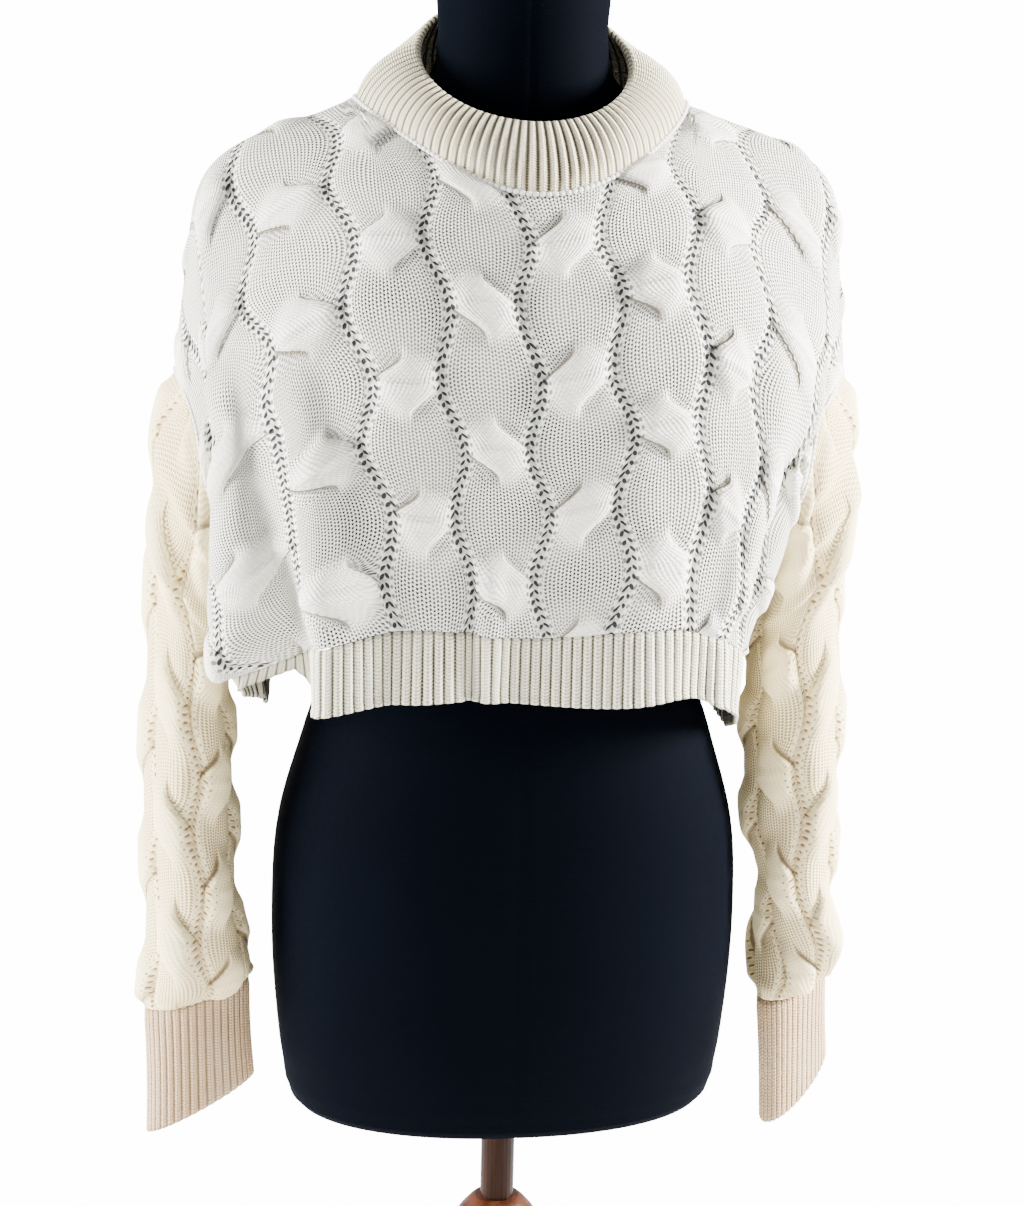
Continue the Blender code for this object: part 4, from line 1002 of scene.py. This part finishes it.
def knit_finish(name, light, gap, shade, hollow, openness=1.0, relief_share=1.0):
    """Plain knitting with cables and ladders, from the colour of its yarn to that of its holes, with painted
    shade in its gaps, creases and openwork and painted light on its crossing strands.
    """
    finish, shader, start = new_finish(name, 0.92, specular=0.15)
    wale, course = map_axes(start, "knit")
    height, dark = stitches(wale, course)
    tone = noise(start, 26.0, 3.0)
    fluff = noise(start, 900.0, 2.0)
    over = attribute(start, "over")
    under_shade, line, step, crest_highlight = crossing_marks(start)
    # A top strand's stitches lie tighter, so its gaps show less, and it is also painted lighter, as lit; its
    # crest gets a painted highlight.
    dark = dark * (1 - over * 0.75) * (1 - crest_highlight * 0.8)
    uneven = (noise(start, 260.0, 1.0) - 0.5) * 1.2 + (1 - openness)
    aside, along = map_axes(start, "ladder")
    far = aside.math("ABSOLUTE")
    open_work = far.ease(6.4, 5.4)
    left_hole, right_hole = (
        hole(aside, along, *sizes, uneven, lean) for sizes, lean in ((LEFT_HOLE, 0.10), (RIGHT_HOLE, -0.10))
    )
    marks = hole(far, along, *SMALL_HOLE, uneven) * 0.8
    plain = 1 - open_work
    bars = ((along * TURN).math("SINE") * 0.5 + 0.5) * open_work
    # Painted shade in the openwork between a ladder's bars.
    shade_between_bars = (1 - bars * 0.8) * far.ease(4.4, 3.0) * 0.5
    dark = (dark * plain).largest(under_shade).largest(shade_between_bars)
    gaps = left_hole.largest(right_hole).largest(marks)
    depth = height * 0.5 * plain + bars * 0.35 - gaps * 1.1 + step * 1.4 - line * 0.8
    # The yarn's colour, darkened towards the gap colour where shade is painted: in the stitch gaps, beside a
    # top strand and in the openwork.
    cloth = dark.blend(light, gap)
    cloth = (tone.ease(0.35, 0.75) * 0.22).blend(cloth, shade)
    # A painted shadow line along a top strand's crease.
    cloth = (line * 0.75).blend(cloth, (0.22, 0.165, 0.10, 1))
    # The holes are painted, not cut, in the hollow colour: the black form on the body, painted shade of the
    # inner cloth on the sleeves.
    cloth = gaps.blend(cloth, hollow)
    feed(start, shader, "Base Color", cloth)
    feed_bump(start, shader, (depth + fluff * 0.22) * relief_share, 0.9, 0.0012)
    return finish


# On the body the gap and hollow colours are the black form seen through the knitting.
BODY_KNIT = knit_finish(
    "body_knit", light=(0.98, 0.955, 0.86, 1), gap=(0.026, 0.027, 0.025, 1),
    shade=(0.80, 0.76, 0.64, 1), hollow=(0.030, 0.031, 0.033, 1),
)
# The sleeves are the body's yarn: their tan gap and hollow colours are painted shade of the cloth inside, and
# their yellower light colour is partly painted warm light.
SLEEVE_KNIT = knit_finish(
    "sleeve_knit", light=(0.99, 0.85, 0.49, 1), gap=(0.30, 0.19, 0.09, 1),
    shade=(0.84, 0.63, 0.34, 1), hollow=(0.24, 0.14, 0.06, 1), openness=0.62, relief_share=0.55,
)
print("knit finishes:", BODY_KNIT.name, SLEEVE_KNIT.name)

# %% [markdown]
# ### Rib
# Rib is knit and purl wales in turn, and it pulls together into ridges. The ridges are in the mesh; the
# finish adds the courses that cross them, and painted shade in the valleys, down each rib's middle and
# between the stitch legs.

# %% Rib finish
def rib_finish(name, light, gap):
    finish, shader, start = new_finish(name, 0.93, specular=0.25)
    rib, course = map_axes(start, "knit")
    in_rib = (rib.math("FRACT") - 0.5).math("ABSOLUTE")
    leg = ((course + in_rib * 1.2) * TURN).math("SINE") * 0.5 + 0.5
    valley = in_rib.ease(0.24, 0.47)
    centre = in_rib.ease(0.10, 0.0)
    height = leg * 0.5 * (1 - valley * 0.5) - valley * 0.6 - centre * 0.3
    fluff = noise(start, 800.0, 2.0)
    tone = noise(start, 30.0, 3.0)
    # Painted shade in the valleys, down each rib's middle and between the legs of its stitches.
    dark = (valley * 0.9 + centre * 0.25 + (1 - leg) * 0.34).math("MINIMUM", 1.0)
    cloth = dark.blend(light, gap)
    cloth = (tone.ease(0.35, 0.75) * 0.2).blend(cloth, (0.62, 0.57, 0.48, 1))
    feed(start, shader, "Base Color", cloth)
    feed_bump(start, shader, height + fluff * 0.25, 0.9, 0.0011)
    return finish


# Each rib's second colour is the painted shade of its valleys.
COLLAR_RIB = rib_finish("collar_rib", (0.96, 0.88, 0.62, 1), (0.06, 0.045, 0.02, 1))
HEM_RIB_FINISH = rib_finish("hem_rib", (0.97, 0.92, 0.70, 1), (0.05, 0.04, 0.02, 1))
# The cuffs are the same yarn as the rest of the sweater; their darker colours are painted shade.
SHADED_CUFF_RIB = rib_finish("shaded_cuff_rib", (0.68, 0.47, 0.27, 1), (0.22, 0.135, 0.07, 1))

# %% [markdown]
# ### Jersey and wood
# The form is covered in fine black jersey, matt but for a faint sheen. The stand is turned mahogany under
# a clear polish: dark streaks run along the grain and the coat mirrors the lamps.

# %% Jersey and wood finishes
def jersey_finish():
    finish, shader, start = new_finish("black_jersey", 0.8, specular=0.015)
    wave = {"wave_type": "BANDS", "bands_direction": "Z"}
    rows = start.node("ShaderNodeTexWave", wave, {"Vector": places(start), "Scale": 420.0, "Distortion": 0.4})
    tone = noise(start, 9.0, 2.0)
    feed(start, shader, "Base Color", tone.blend((0.0003, 0.0007, 0.0020, 1), (0.0007, 0.0014, 0.0034, 1)))
    feed_bump(start, shader, rows, 0.25, 0.0004)
    return finish


def wood_finish(name, dark, light, along="Z", gloss=0.2):
    finish, shader, start = new_finish(name, 0.38, specular=gloss, coat=0.3 * gloss)
    shader.inputs["Coat Roughness"].default_value = 0.12
    stretch = {"X": (2.0, 14.0, 14.0), "Z": (14.0, 14.0, 1.6)}[along]
    grain = start.node("ShaderNodeMapping", None, {"Vector": places(start), "Scale": stretch})
    streak, pores = noise(start, 6.0, 6.0, grain), noise(start, 60.0, 2.0, grain)
    figure = streak.ease(0.35, 0.68)
    feed(start, shader, "Base Color", (figure * 0.85 + pores * 0.15).blend(dark, light))
    feed(start, shader, "Roughness", 0.28 + pores * 0.14)
    feed_bump(start, shader, pores, 0.12, 0.0006)
    return finish


JERSEY = jersey_finish()
POLE_WOOD = wood_finish("pole_wood", (0.010, 0.004, 0.002, 1), (0.026, 0.011, 0.006, 1), gloss=0.04)
MAHOGANY = (0.030, 0.008, 0.003, 1), (0.095, 0.029, 0.012, 1)
STAND_WOOD = wood_finish("stand_wood", *MAHOGANY)
LEG_WOOD = wood_finish("leg_wood", *MAHOGANY, along="X")

# %% [markdown]
# ## Front and back panels
# The grid's columns run down the fall lines and its rows across, and near the neck the rows bend to the
# neckline, so the edge is clean and nothing has to be cut. The wall then follows the cables.

# %% The knitting's place on a piece
def write_pattern(piece, pattern, first, second, points, columns, slack=1.0):
    """Keep each corner's stitch and ladder row, and each point's place on the strands, with the piece."""
    flat = pattern(first, second)
    wide = pulled_wide(points, flat[0], columns)
    (a, b, wide), (middle_a, middle_b, _) = corners(piece, first, second, wide)
    place = (*pattern(a, b), *pattern(middle_a, middle_b), wide)
    write_map(piece, "knit", np.stack(stitch_place(*place, slack), axis=-1))
    write_map(piece, "ladder", np.stack(ladder_place(*place), axis=-1))
    for name, values in strand_edges(*flat, slack).items():
        point_value(piece, name, values)


# %% Panels
PANEL_GRID = (300, 154)
NECK_BLEND = 0.115         # rows give way to the neckline above this distance down


def make_panel(name, node, side):
    piece, share_across, share_down = sheet_grid(name, *PANEL_GRID)
    across = (share_across * 2 - 1) * (PANEL_HALF - SEAM_GAP)
    down = share_down * (PANEL_DROP - SEAM_GAP)
    start = neckline(across, FRONT_NECK if side > 0 else BACK_NECK)
    down = np.where(down < NECK_BLEND, start + (NECK_BLEND - start) * down / NECK_BLEND, down)
    points = body(across, side * down)
    out = facing(body, across, side * down)
    place_points(piece, points + out * (body_relief(across, side * down, side) + SHELL / 2)[:, None])
    write_pattern(piece, lambda s, t: knit_place(s, t, side), across, side * down, points, PANEL_GRID[0])
    if side < 0:
        piece.data.flip_normals()
    finish_cloth(piece, SHELL, BODY_KNIT)
    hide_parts(node)
    return piece


front = make_panel("front_knit", "front_panel", 1)
back = make_panel("back_knit", "back_panel", -1)

# %% [markdown]
# ## Rib bands at the hem
# Each band hangs from its panel's bottom edge. It has one ridge for each rib, counted along the edge, so
# the ribs stay equally wide however the edge runs, and eight grid columns to a ridge keep them round.

# %% Hem bands
BAND_HEIGHT = 0.047        # of the rib band as it was knitted
HEM_WAVE = 0.0025          # the free band's lower edge rises and falls by this much
HEM_RIB = 0.0068           # pitch of the ribs at the hem
RIB_COLUMNS = 8            # grid columns to a rib
HEM_ROWS, CUFF_ROWS, COLLAR_ROWS = 16, 22, 56
HEM_RELIEF = 0.0013
# The rib band round the hem: it hangs free, but is rolled up under the bag at the left side.
FRONT_HEM = (
    # across, fall, flare, gap to the panel
    (-360, 15, -4, 1.0), (-316, 19, -4, 2.6), (-272, 22, -6, 2.4), (-240, 14, -10, 2.0), (-208, 12, -10, 1.6),
    (-186, 46, -2, 1.0), (-150, 47, 2, 0.8), (150, 47, 2, 0.8), (240, 47, -4, 0.8), (360, 47, -1, 0.8),
)
BACK_HEM = (
    (-360, 15, -4, 0.8), (-320, 24, -4, 0.8), (-270, 40, -4, 0.8), (-230, 47, -3, 0.8), (-150, 47, 2, 0.8),
    (150, 47, 2, 0.8), (240, 47, -4, 0.8), (360, 47, -1, 0.8),
)


def hem_fall(side, across):
    """How far the band falls, how far it flares out (or tucks in) at its foot, and its gap to the panel."""
    table = np.array(FRONT_HEM if side > 0 else BACK_HEM) * MM
    fall, flare, gap = (np.interp(across, table[:, 0], column) for column in table[:, 1:].T)
    wave = np.sin(across * 34) * smooth_step((0.16 - np.abs(across)) / 0.05) * (side > 0)
    return fall + HEM_WAVE * wave, flare + 1.6 * HEM_WAVE * wave, gap


def run_lengths(points):
    """The distance walked along a run of points, at each of them."""
    return np.concatenate([[0], np.cumsum(np.linalg.norm(np.diff(points, axis=0), axis=1))])


def read_along(places, lengths, values):
    """Three numbers for each point of a run, read at any places along it."""
    return np.stack([np.interp(places, lengths, values[:, k]) for k in range(3)], axis=-1)


def round_ribs(rib, height):
    """One rounded ridge to a rib."""
    return height * (0.5 - 0.5 * np.cos(TURN * rib))


def make_hem(name, node, side):
    dense = np.linspace(-1, 1, 1201) * (PANEL_HALF - SEAM_GAP)
    edge_down = side * (PANEL_DROP - SEAM_GAP / 2)
    lengths = run_lengths(body(dense, np.full(dense.shape, edge_down)))
    length = lengths[-1]
    ribs = int(round(length / HEM_RIB))
    columns = ribs * RIB_COLUMNS
    even = np.linspace(0, 1, columns + 1)
    places_along = np.interp(even * length, lengths, np.linspace(0, 1, len(dense)))
    piece, share_across, share_down = sheet_grid(name, columns, HEM_ROWS)
    at = np.interp(share_across, even, places_along)
    across = (at * 2 - 1) * (PANEL_HALF - SEAM_GAP)
    top = body(across, np.full(across.shape, edge_down))
    level = unit(facing(body, across, np.full(across.shape, edge_down)) * LEVEL)
    fall, flare, seam = hem_fall(side, across)
    drop = seam * 0.5 + (fall - seam * 0.5) * share_down
    rib = share_across * ribs
    ridge = round_ribs(rib, HEM_RELIEF) * smooth_step(share_down / 0.12)
    curl = 0.0012 * smooth_step((share_down - 0.9) / 0.1)
    points = top + level * (flare * share_down + ridge + curl + SHELL / 2)[:, None]
    points = points - np.array([0, 0, 1.0]) * drop[:, None]
    place_points(piece, points)
    write_rib_map(piece, rib, share_down * BAND_HEIGHT / COURSE_HEIGHT)
    if side < 0:
        piece.data.flip_normals()
    finish_cloth(piece, SHELL, HEM_RIB_FINISH)
    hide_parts(node)
    print(node, ribs, "ribs over", round(length, 3), "m")
    return piece, length


front_hem, front_hem_length = make_hem("front_hem_knit", "hem_rib_front", 1)
back_hem, back_hem_length = make_hem("back_hem_knit", "hem_rib_back", -1)

# %% [markdown]
# ## Sleeves
# A sleeve is a tube that starts at the armhole's own edge, so panel and sleeve meet all round. Its grid is
# rolled up once in the formula, and its two long edges are then merged into a seamless tube.

# %% Sleeves
SLEEVE_GRID = (196, 168)
SLEEVE_SPAN = (0.003, 0.996)       # shares of its length: the gap to the armhole, and the cloth


def make_sleeve(name, node, side):
    piece, share_around, share = sheet_grid(name, *SLEEVE_GRID)
    angles = share_around * TURN
    reach = SLEEVE_SPAN[0] + share * SLEEVE_SPAN[1]
    points = sleeve(side, angles, reach)
    out = sleeve_facing(side, angles, reach)
    knit, folds = sleeve_relief(side, angles, reach)
    place_points(piece, points + out * (knit + folds + SHELL / 2)[:, None])
    write_pattern(piece, sleeve_pattern, angles, reach, points, SLEEVE_GRID[0], SLEEVE_SLACK)
    if side > 0:
        piece.data.flip_normals()
    finish_cloth(piece, SHELL, SLEEVE_KNIT, tube=True)
    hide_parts(node)
    return piece


SIDES = {"left": -1, "right": 1}
sleeves = {word: make_sleeve(f"sleeve_{word}_knit", f"sleeve_{word}", side) for word, side in SIDES.items()}

# %% [markdown]
# ## Cuffs
# The cuffs are tubes of fine rib. Each joins its sleeve's last ring to a narrower ring below it.

# %% Cuffs
CUFF_RIBS = 38
CUFF_RELIEF = 0.0008
CUFF_HEIGHT = 0.085
CUFF_SPAN = (0.005, 0.995)         # shares of its length: the gap to the sleeve, and the cloth


def make_cuff(name, node, side):
    columns = CUFF_RIBS * RIB_COLUMNS
    piece, share_around, share = sheet_grid(name, columns, CUFF_ROWS)
    angles = share_around * TURN
    points, out = np.empty((2, len(angles), 3))
    for level in np.unique(np.round(share, 6)):
        row = np.abs(share - level) < 1e-5
        reach = CUFF_SPAN[0] + CUFF_SPAN[1] * level
        points[row], out[row] = cuff(side, angles[row], reach), cuff_out(side, angles[row], reach)
    rib = share_around * CUFF_RIBS
    ridge = round_ribs(rib, CUFF_RELIEF) * smooth_step(share / 0.1)
    place_points(piece, points + out * (ridge + SHELL / 2)[:, None])
    write_rib_map(piece, rib, share * CUFF_HEIGHT / COURSE_HEIGHT)
    if side > 0:
        piece.data.flip_normals()
    finish_cloth(piece, SHELL, SHADED_CUFF_RIB, tube=True)
    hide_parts(node)
    return piece


cuffs = {word: make_cuff(f"cuff_{word}_knit", f"cuff_{word}", side) for word, side in SIDES.items()}

# %% [markdown]
# ## Collar
# The collar is one strip of rib folded in half, so it shows the same ribs outside and inside and a round
# fold on top. It is a closed ring: the grid runs once round the neck, and once round the folded strip.

# %% Collar
COLLAR_RIBS = 88
COLLAR_WALL = 0.0046       # the collar is folded double
COLLAR_RELIEF = 0.0013
COLLAR_BULGE = 0.0065
COLLAR_COURSES = 0.16 / COURSE_HEIGHT  # round the folded strip
COLLAR_MIDDLE = -0.0125    # the top edge's middle, a little in front of the form's axis
COLLAR_OVAL = (0.071, 0.083)   # half width and half depth of the top edge
COLLAR_RISE = (1.480, 0.45)    # its height at the form's axis, and its climb for each metre backwards
FOLD_SHARE = 0.44          # of the strip's turn goes up the outside, and as much down the inside


def collar_top(angles):
    """The folded top edge: a tilted oval, angle 0 at the centre front, turning towards +X."""
    x = COLLAR_OVAL[0] * np.sin(angles)
    y = COLLAR_MIDDLE - COLLAR_OVAL[1] * np.cos(angles)
    return np.stack([x, y, COLLAR_RISE[0] + COLLAR_RISE[1] * y], axis=-1)


def neck_run():
    """The panels' neckline as one closed run of points and outward vectors, from the left side."""
    turn = np.linspace(0, math.pi, 401)[:-1]
    across = -NECK_HALF * np.cos(turn)
    runs = []
    for side, depth in ((1, FRONT_NECK), (-1, BACK_NECK)):
        down = side * neckline(side * across, depth)
        runs.append((body(side * across, down), facing(body, side * across, down)))
    return np.concatenate([run[0] for run in runs]), np.concatenate([run[1] for run in runs])


def make_collar(name, node):
    edge, edge_out = neck_run()
    closed = np.concatenate([edge, edge[:1]])
    closed_out = np.concatenate([edge_out, edge_out[:1]])
    lengths = run_lengths(closed)
    around = RIB_COLUMNS * COLLAR_RIBS
    even = np.arange(around) * lengths[-1] / around
    bottom, out = read_along(even, lengths, closed), unit(read_along(even, lengths, closed_out))
    run = unit(np.roll(bottom, -1, axis=0) - np.roll(bottom, 1, axis=0))
    inwards = unit(np.cross(out, run))
    middle = np.array([0, 0, 1.45])
    inwards = inwards * np.sign(np.sum(inwards * (middle - bottom), axis=-1, keepdims=True))
    bottom = bottom + inwards * SEAM_GAP
    top = collar_top(np.arctan2(bottom[:, 0], COLLAR_MIDDLE - bottom[:, 1]))
    rise = unit(top - bottom)
    stand = unit(np.cross(run, rise))
    stand = stand * np.sign(np.sum(stand * out, axis=-1, keepdims=True))
    piece, share_around, share = sheet_grid(name, around, COLLAR_ROWS)
    at = np.round(share_around * around).astype(int) % around
    half = COLLAR_WALL / 2
    climb = np.clip(np.minimum(share, 1 - share) / FOLD_SHARE, 0, 1)
    sway = np.clip((share - FOLD_SHARE) / (1 - 2 * FOLD_SHARE), 0, 1) * math.pi
    line = bottom[at] + (top - bottom)[at] * climb[:, None]
    line = line + stand[at] * (COLLAR_BULGE * 4 * climb * (1 - climb))[:, None]
    lean_share = np.clip(climb / 0.3, 0, 1)[:, None]
    lean = unit(out[at] * (1 - lean_share) + stand[at] * lean_share)
    rib = share_around * COLLAR_RIBS
    ridge = round_ribs(rib, COLLAR_RELIEF) * (0.4 + 0.6 * smooth_step(climb / 0.3))
    side = np.cos(sway)
    width = half + ridge * np.abs(side)
    points = line + lean * (side * width)[:, None] + rise[at] * (np.sin(sway) * half * 0.8)[:, None]
    place_points(piece, points)
    write_rib_map(piece, rib, share * COLLAR_COURSES)
    finish_cloth(piece, 0, COLLAR_RIB, tube=True)
    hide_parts(node)
    return piece, bottom, out, lengths[-1]


collar, collar_seam, collar_seam_out, neck_length = make_collar("collar_knit", "collar")
print("neckline", round(neck_length, 3), "m")

# %% [markdown]
# ## Linked seams
# A collar is linked on stitch by stitch, which leaves a bright chain along the seam, and the sleeves are
# joined with a chain too. A chain is one grid that is rolled round the seam's line, thicker in the middle
# of every stitch.

# %% Seam chains
CHAIN_STEPS, CHAIN_SIDES = 6, 8    # of the grid: along each stitch and round the chain
CHAIN_FLAT = 1.25                  # a stitch is this much wider than it is high
COLLAR_CHAIN = (0.0042, 0.0030)    # length of a stitch, and its thickness
ARMHOLE_CHAIN = (0.0040, 0.0022)


def make_chain(name, line, out, pitch, thick):
    """A closed chain of stitches along a line of points; out points away from the cloth at each of them."""
    ends = np.concatenate([line, line[:1]])
    lengths = run_lengths(ends)
    count = int(round(lengths[-1] / pitch))
    piece, share_along, share_around = sheet_grid(name, count * CHAIN_STEPS, CHAIN_SIDES)
    at = share_along * lengths[-1]
    centre = read_along(at, lengths, ends)
    away = unit(read_along(at, lengths, np.concatenate([out, out[:1]])))
    ahead = unit(read_along(at, lengths, np.gradient(ends, lengths, axis=0)))
    beside = unit(np.cross(away, ahead))
    bead = 0.62 + 0.38 * np.abs(np.sin(math.pi * share_along * count)) ** 0.7
    angle = share_around * TURN
    radius = thick / 2 * bead
    outline = beside * np.cos(angle)[:, None] * CHAIN_FLAT + away * np.sin(angle)[:, None]
    points = centre + outline * radius[:, None]
    place_points(piece, points)
    write_rib_map(piece, share_along * count, share_around * 4)
    finish_cloth(piece, 0, CHAIN, tube=True)


def chain_finish():
    finish, shader, start = new_finish("seam_chain", 0.9, sheen=0.1)
    link, _ = map_axes(start, "knit")
    gap = (link.math("FRACT") - 0.5).math("ABSOLUTE").ease(0.3, 0.5)
    fluff = noise(start, 900.0, 2.0)
    # Painted shade darkens the gaps between the links.
    feed(start, shader, "Base Color", (gap * 0.8).blend((0.86, 0.85, 0.80, 1), (0.40, 0.37, 0.31, 1)))
    feed_bump(start, shader, fluff - gap * 0.5, 0.6, 0.0008)
    return finish


CHAIN = chain_finish()
line = collar_seam + collar_seam_out * (SHELL + 0.0016)
make_chain("collar_linking", line, collar_seam_out, *COLLAR_CHAIN)
for word, side in SIDES.items():
    angles = np.linspace(0, TURN, 361)[:-1]
    out = sleeve_facing(side, angles, np.full(angles.shape, 0.02))
    line = armhole_edge(side, angles) + out * (SHELL + 0.0004)
    make_chain(f"armhole_{word}_linking", line, out, *ARMHOLE_CHAIN)

# %% [markdown]
# ## The dress form
# The form's cover is smooth, so its grid only needs to be finer than the solid's. Its seams are narrow
# grooves: one down the centre front and back, and one round the base of the neck.

# %% Dress form
FORM_GRID = (128, 150)
NECK_SEAM = (1.452, 0.020)         # its middle height, and how much higher it lies at the back
NECK_GROOVE = (0.0022, 0.0009)     # half width and depth
MIDDLE_GROOVE = (0.0016, 0.0006)


def groove(distance, half_width, depth):
    return depth * np.exp(-((distance / half_width) ** 2))


def make_form():
    """The form's cover: a tube with its two ends closed."""
    piece, share_around, share_down = sheet_grid("dress_form_cover", *FORM_GRID)
    low, high = FORM_SECTIONS[0][0] * MM, FORM_SECTIONS[-1][0] * MM
    height = high - (high - low) * share_down
    angles = share_around * TURN
    radius = form_radius(angles, height)
    neck_seam = NECK_SEAM[0] + NECK_SEAM[1] * np.sin(angles)
    radius = radius - groove(height - neck_seam, *NECK_GROOVE)
    off_middle = radius * np.minimum(np.abs(angles - 1.5 * math.pi), np.abs(angles - 0.5 * math.pi))
    radius = radius - groove(off_middle, *MIDDLE_GROOVE)
    points = np.stack([radius * np.cos(angles), radius * np.sin(angles), height], axis=-1)
    place_points(piece, points)
    finish_cloth(piece, 0, JERSEY, tube=True)
    open_for_edit(piece, "DESELECT")
    bpy.ops.mesh.select_non_manifold()
    bpy.ops.mesh.edge_face_add()
    bpy.ops.mesh.select_all(action="SELECT")
    bpy.ops.mesh.normals_make_consistent(inside=False)
    bpy.ops.object.mode_set(mode="OBJECT")
    bpy.ops.object.select_all(action="DESELECT")
    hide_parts("dress_form")


make_form()

# %% [markdown]
# ## Stand
# The pole and the three legs already have their real shape, so they keep their solids and get polished
# wood. The column is turned again with many more sides, over the same profile, down to its leg block.

# %% Stand
LEG_BLOCK = 0.030          # inradius of the hexagonal block that the legs join
COLUMN_PROFILE = (
    # height and radius of the turned stand column, top to the leg block
    (639.7, 14), (639, 17), (634, 22.5), (622, 31), (600, 38), (572, 41), (540, 38), (512, 30), (494, 22),
    (486, 19), (478, 25), (468, 27), (458, 25), (450, 18), (400, 19.5), (330, 25), (285, 29), (265, 27),
    (256, 21), (248, 27), (238, 29),
)
COLUMN_SIDES = 96
BLOCK_ROWS = ((0.232, 1), (0.228, 1), (0.130, 1), (0.128, 1))
FINIAL_ROWS = ((0.120, 0.021), (0.113, 0.0195), (0.106, 0.016), (0.101, 0.011), (0.098, 0.0))


def make_column():
    knots = np.arange(len(COLUMN_PROFILE), dtype=float)
    turned = curve_through(knots, np.array(COLUMN_PROFILE) * MM, np.linspace(0, knots[-1], 141))
    rows = [(turned[0, 0], 0.0, 0.0)] + [(height, radius, 0.0) for height, radius in turned]
    rows += [(height, LEG_BLOCK, squared) for height, squared in BLOCK_ROWS]
    rows += [(height, radius, 0.0) for height, radius in FINIAL_ROWS]
    rows = np.array(rows)
    piece, share_around, share_down = sheet_grid("turned_column", COLUMN_SIDES, len(rows) - 1)
    row = np.round(share_down * (len(rows) - 1)).astype(int)
    angles = share_around * TURN
    off_flat = np.mod(angles + math.pi / 6, math.pi / 3) - math.pi / 6
    radius = rows[row, 1] * (1 + rows[row, 2] * (1 / np.cos(off_flat) - 1))
    place_points(piece, np.stack([radius * np.cos(angles), radius * np.sin(angles), rows[row, 0]], axis=-1))
    finish_cloth(piece, 0, STAND_WOOD, tube=True)
    open_for_edit(piece)
    bpy.ops.mesh.normals_make_consistent(inside=False)
    bpy.ops.object.mode_set(mode="OBJECT")
    bpy.ops.object.shade_smooth_by_angle(angle=math.radians(32))
    bpy.ops.object.select_all(action="DESELECT")
    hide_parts("stand_column")


make_column()
for node, finish in (("pole", POLE_WOOD), ("leg_1", LEG_WOOD), ("leg_2", LEG_WOOD), ("leg_3", LEG_WOOD)):
    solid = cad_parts[node]
    solid.data.materials.clear()
    solid.data.materials.append(finish)

# %% [markdown]
# The flat area of each body panel, before it was hung, is worked out from the same sizes as its shape. It is
# not kept.

# %% Flat sizes
NECK_FILL = 0.86           # of the box round the neckline is open


def flat_area_of_panel(depth):
    return 2 * PANEL_HALF * PANEL_DROP - 2 * NECK_HALF * depth * NECK_FILL


for piece, depth in ((front, FRONT_NECK), (back, BACK_NECK)):
    flat_area_of_panel(depth)
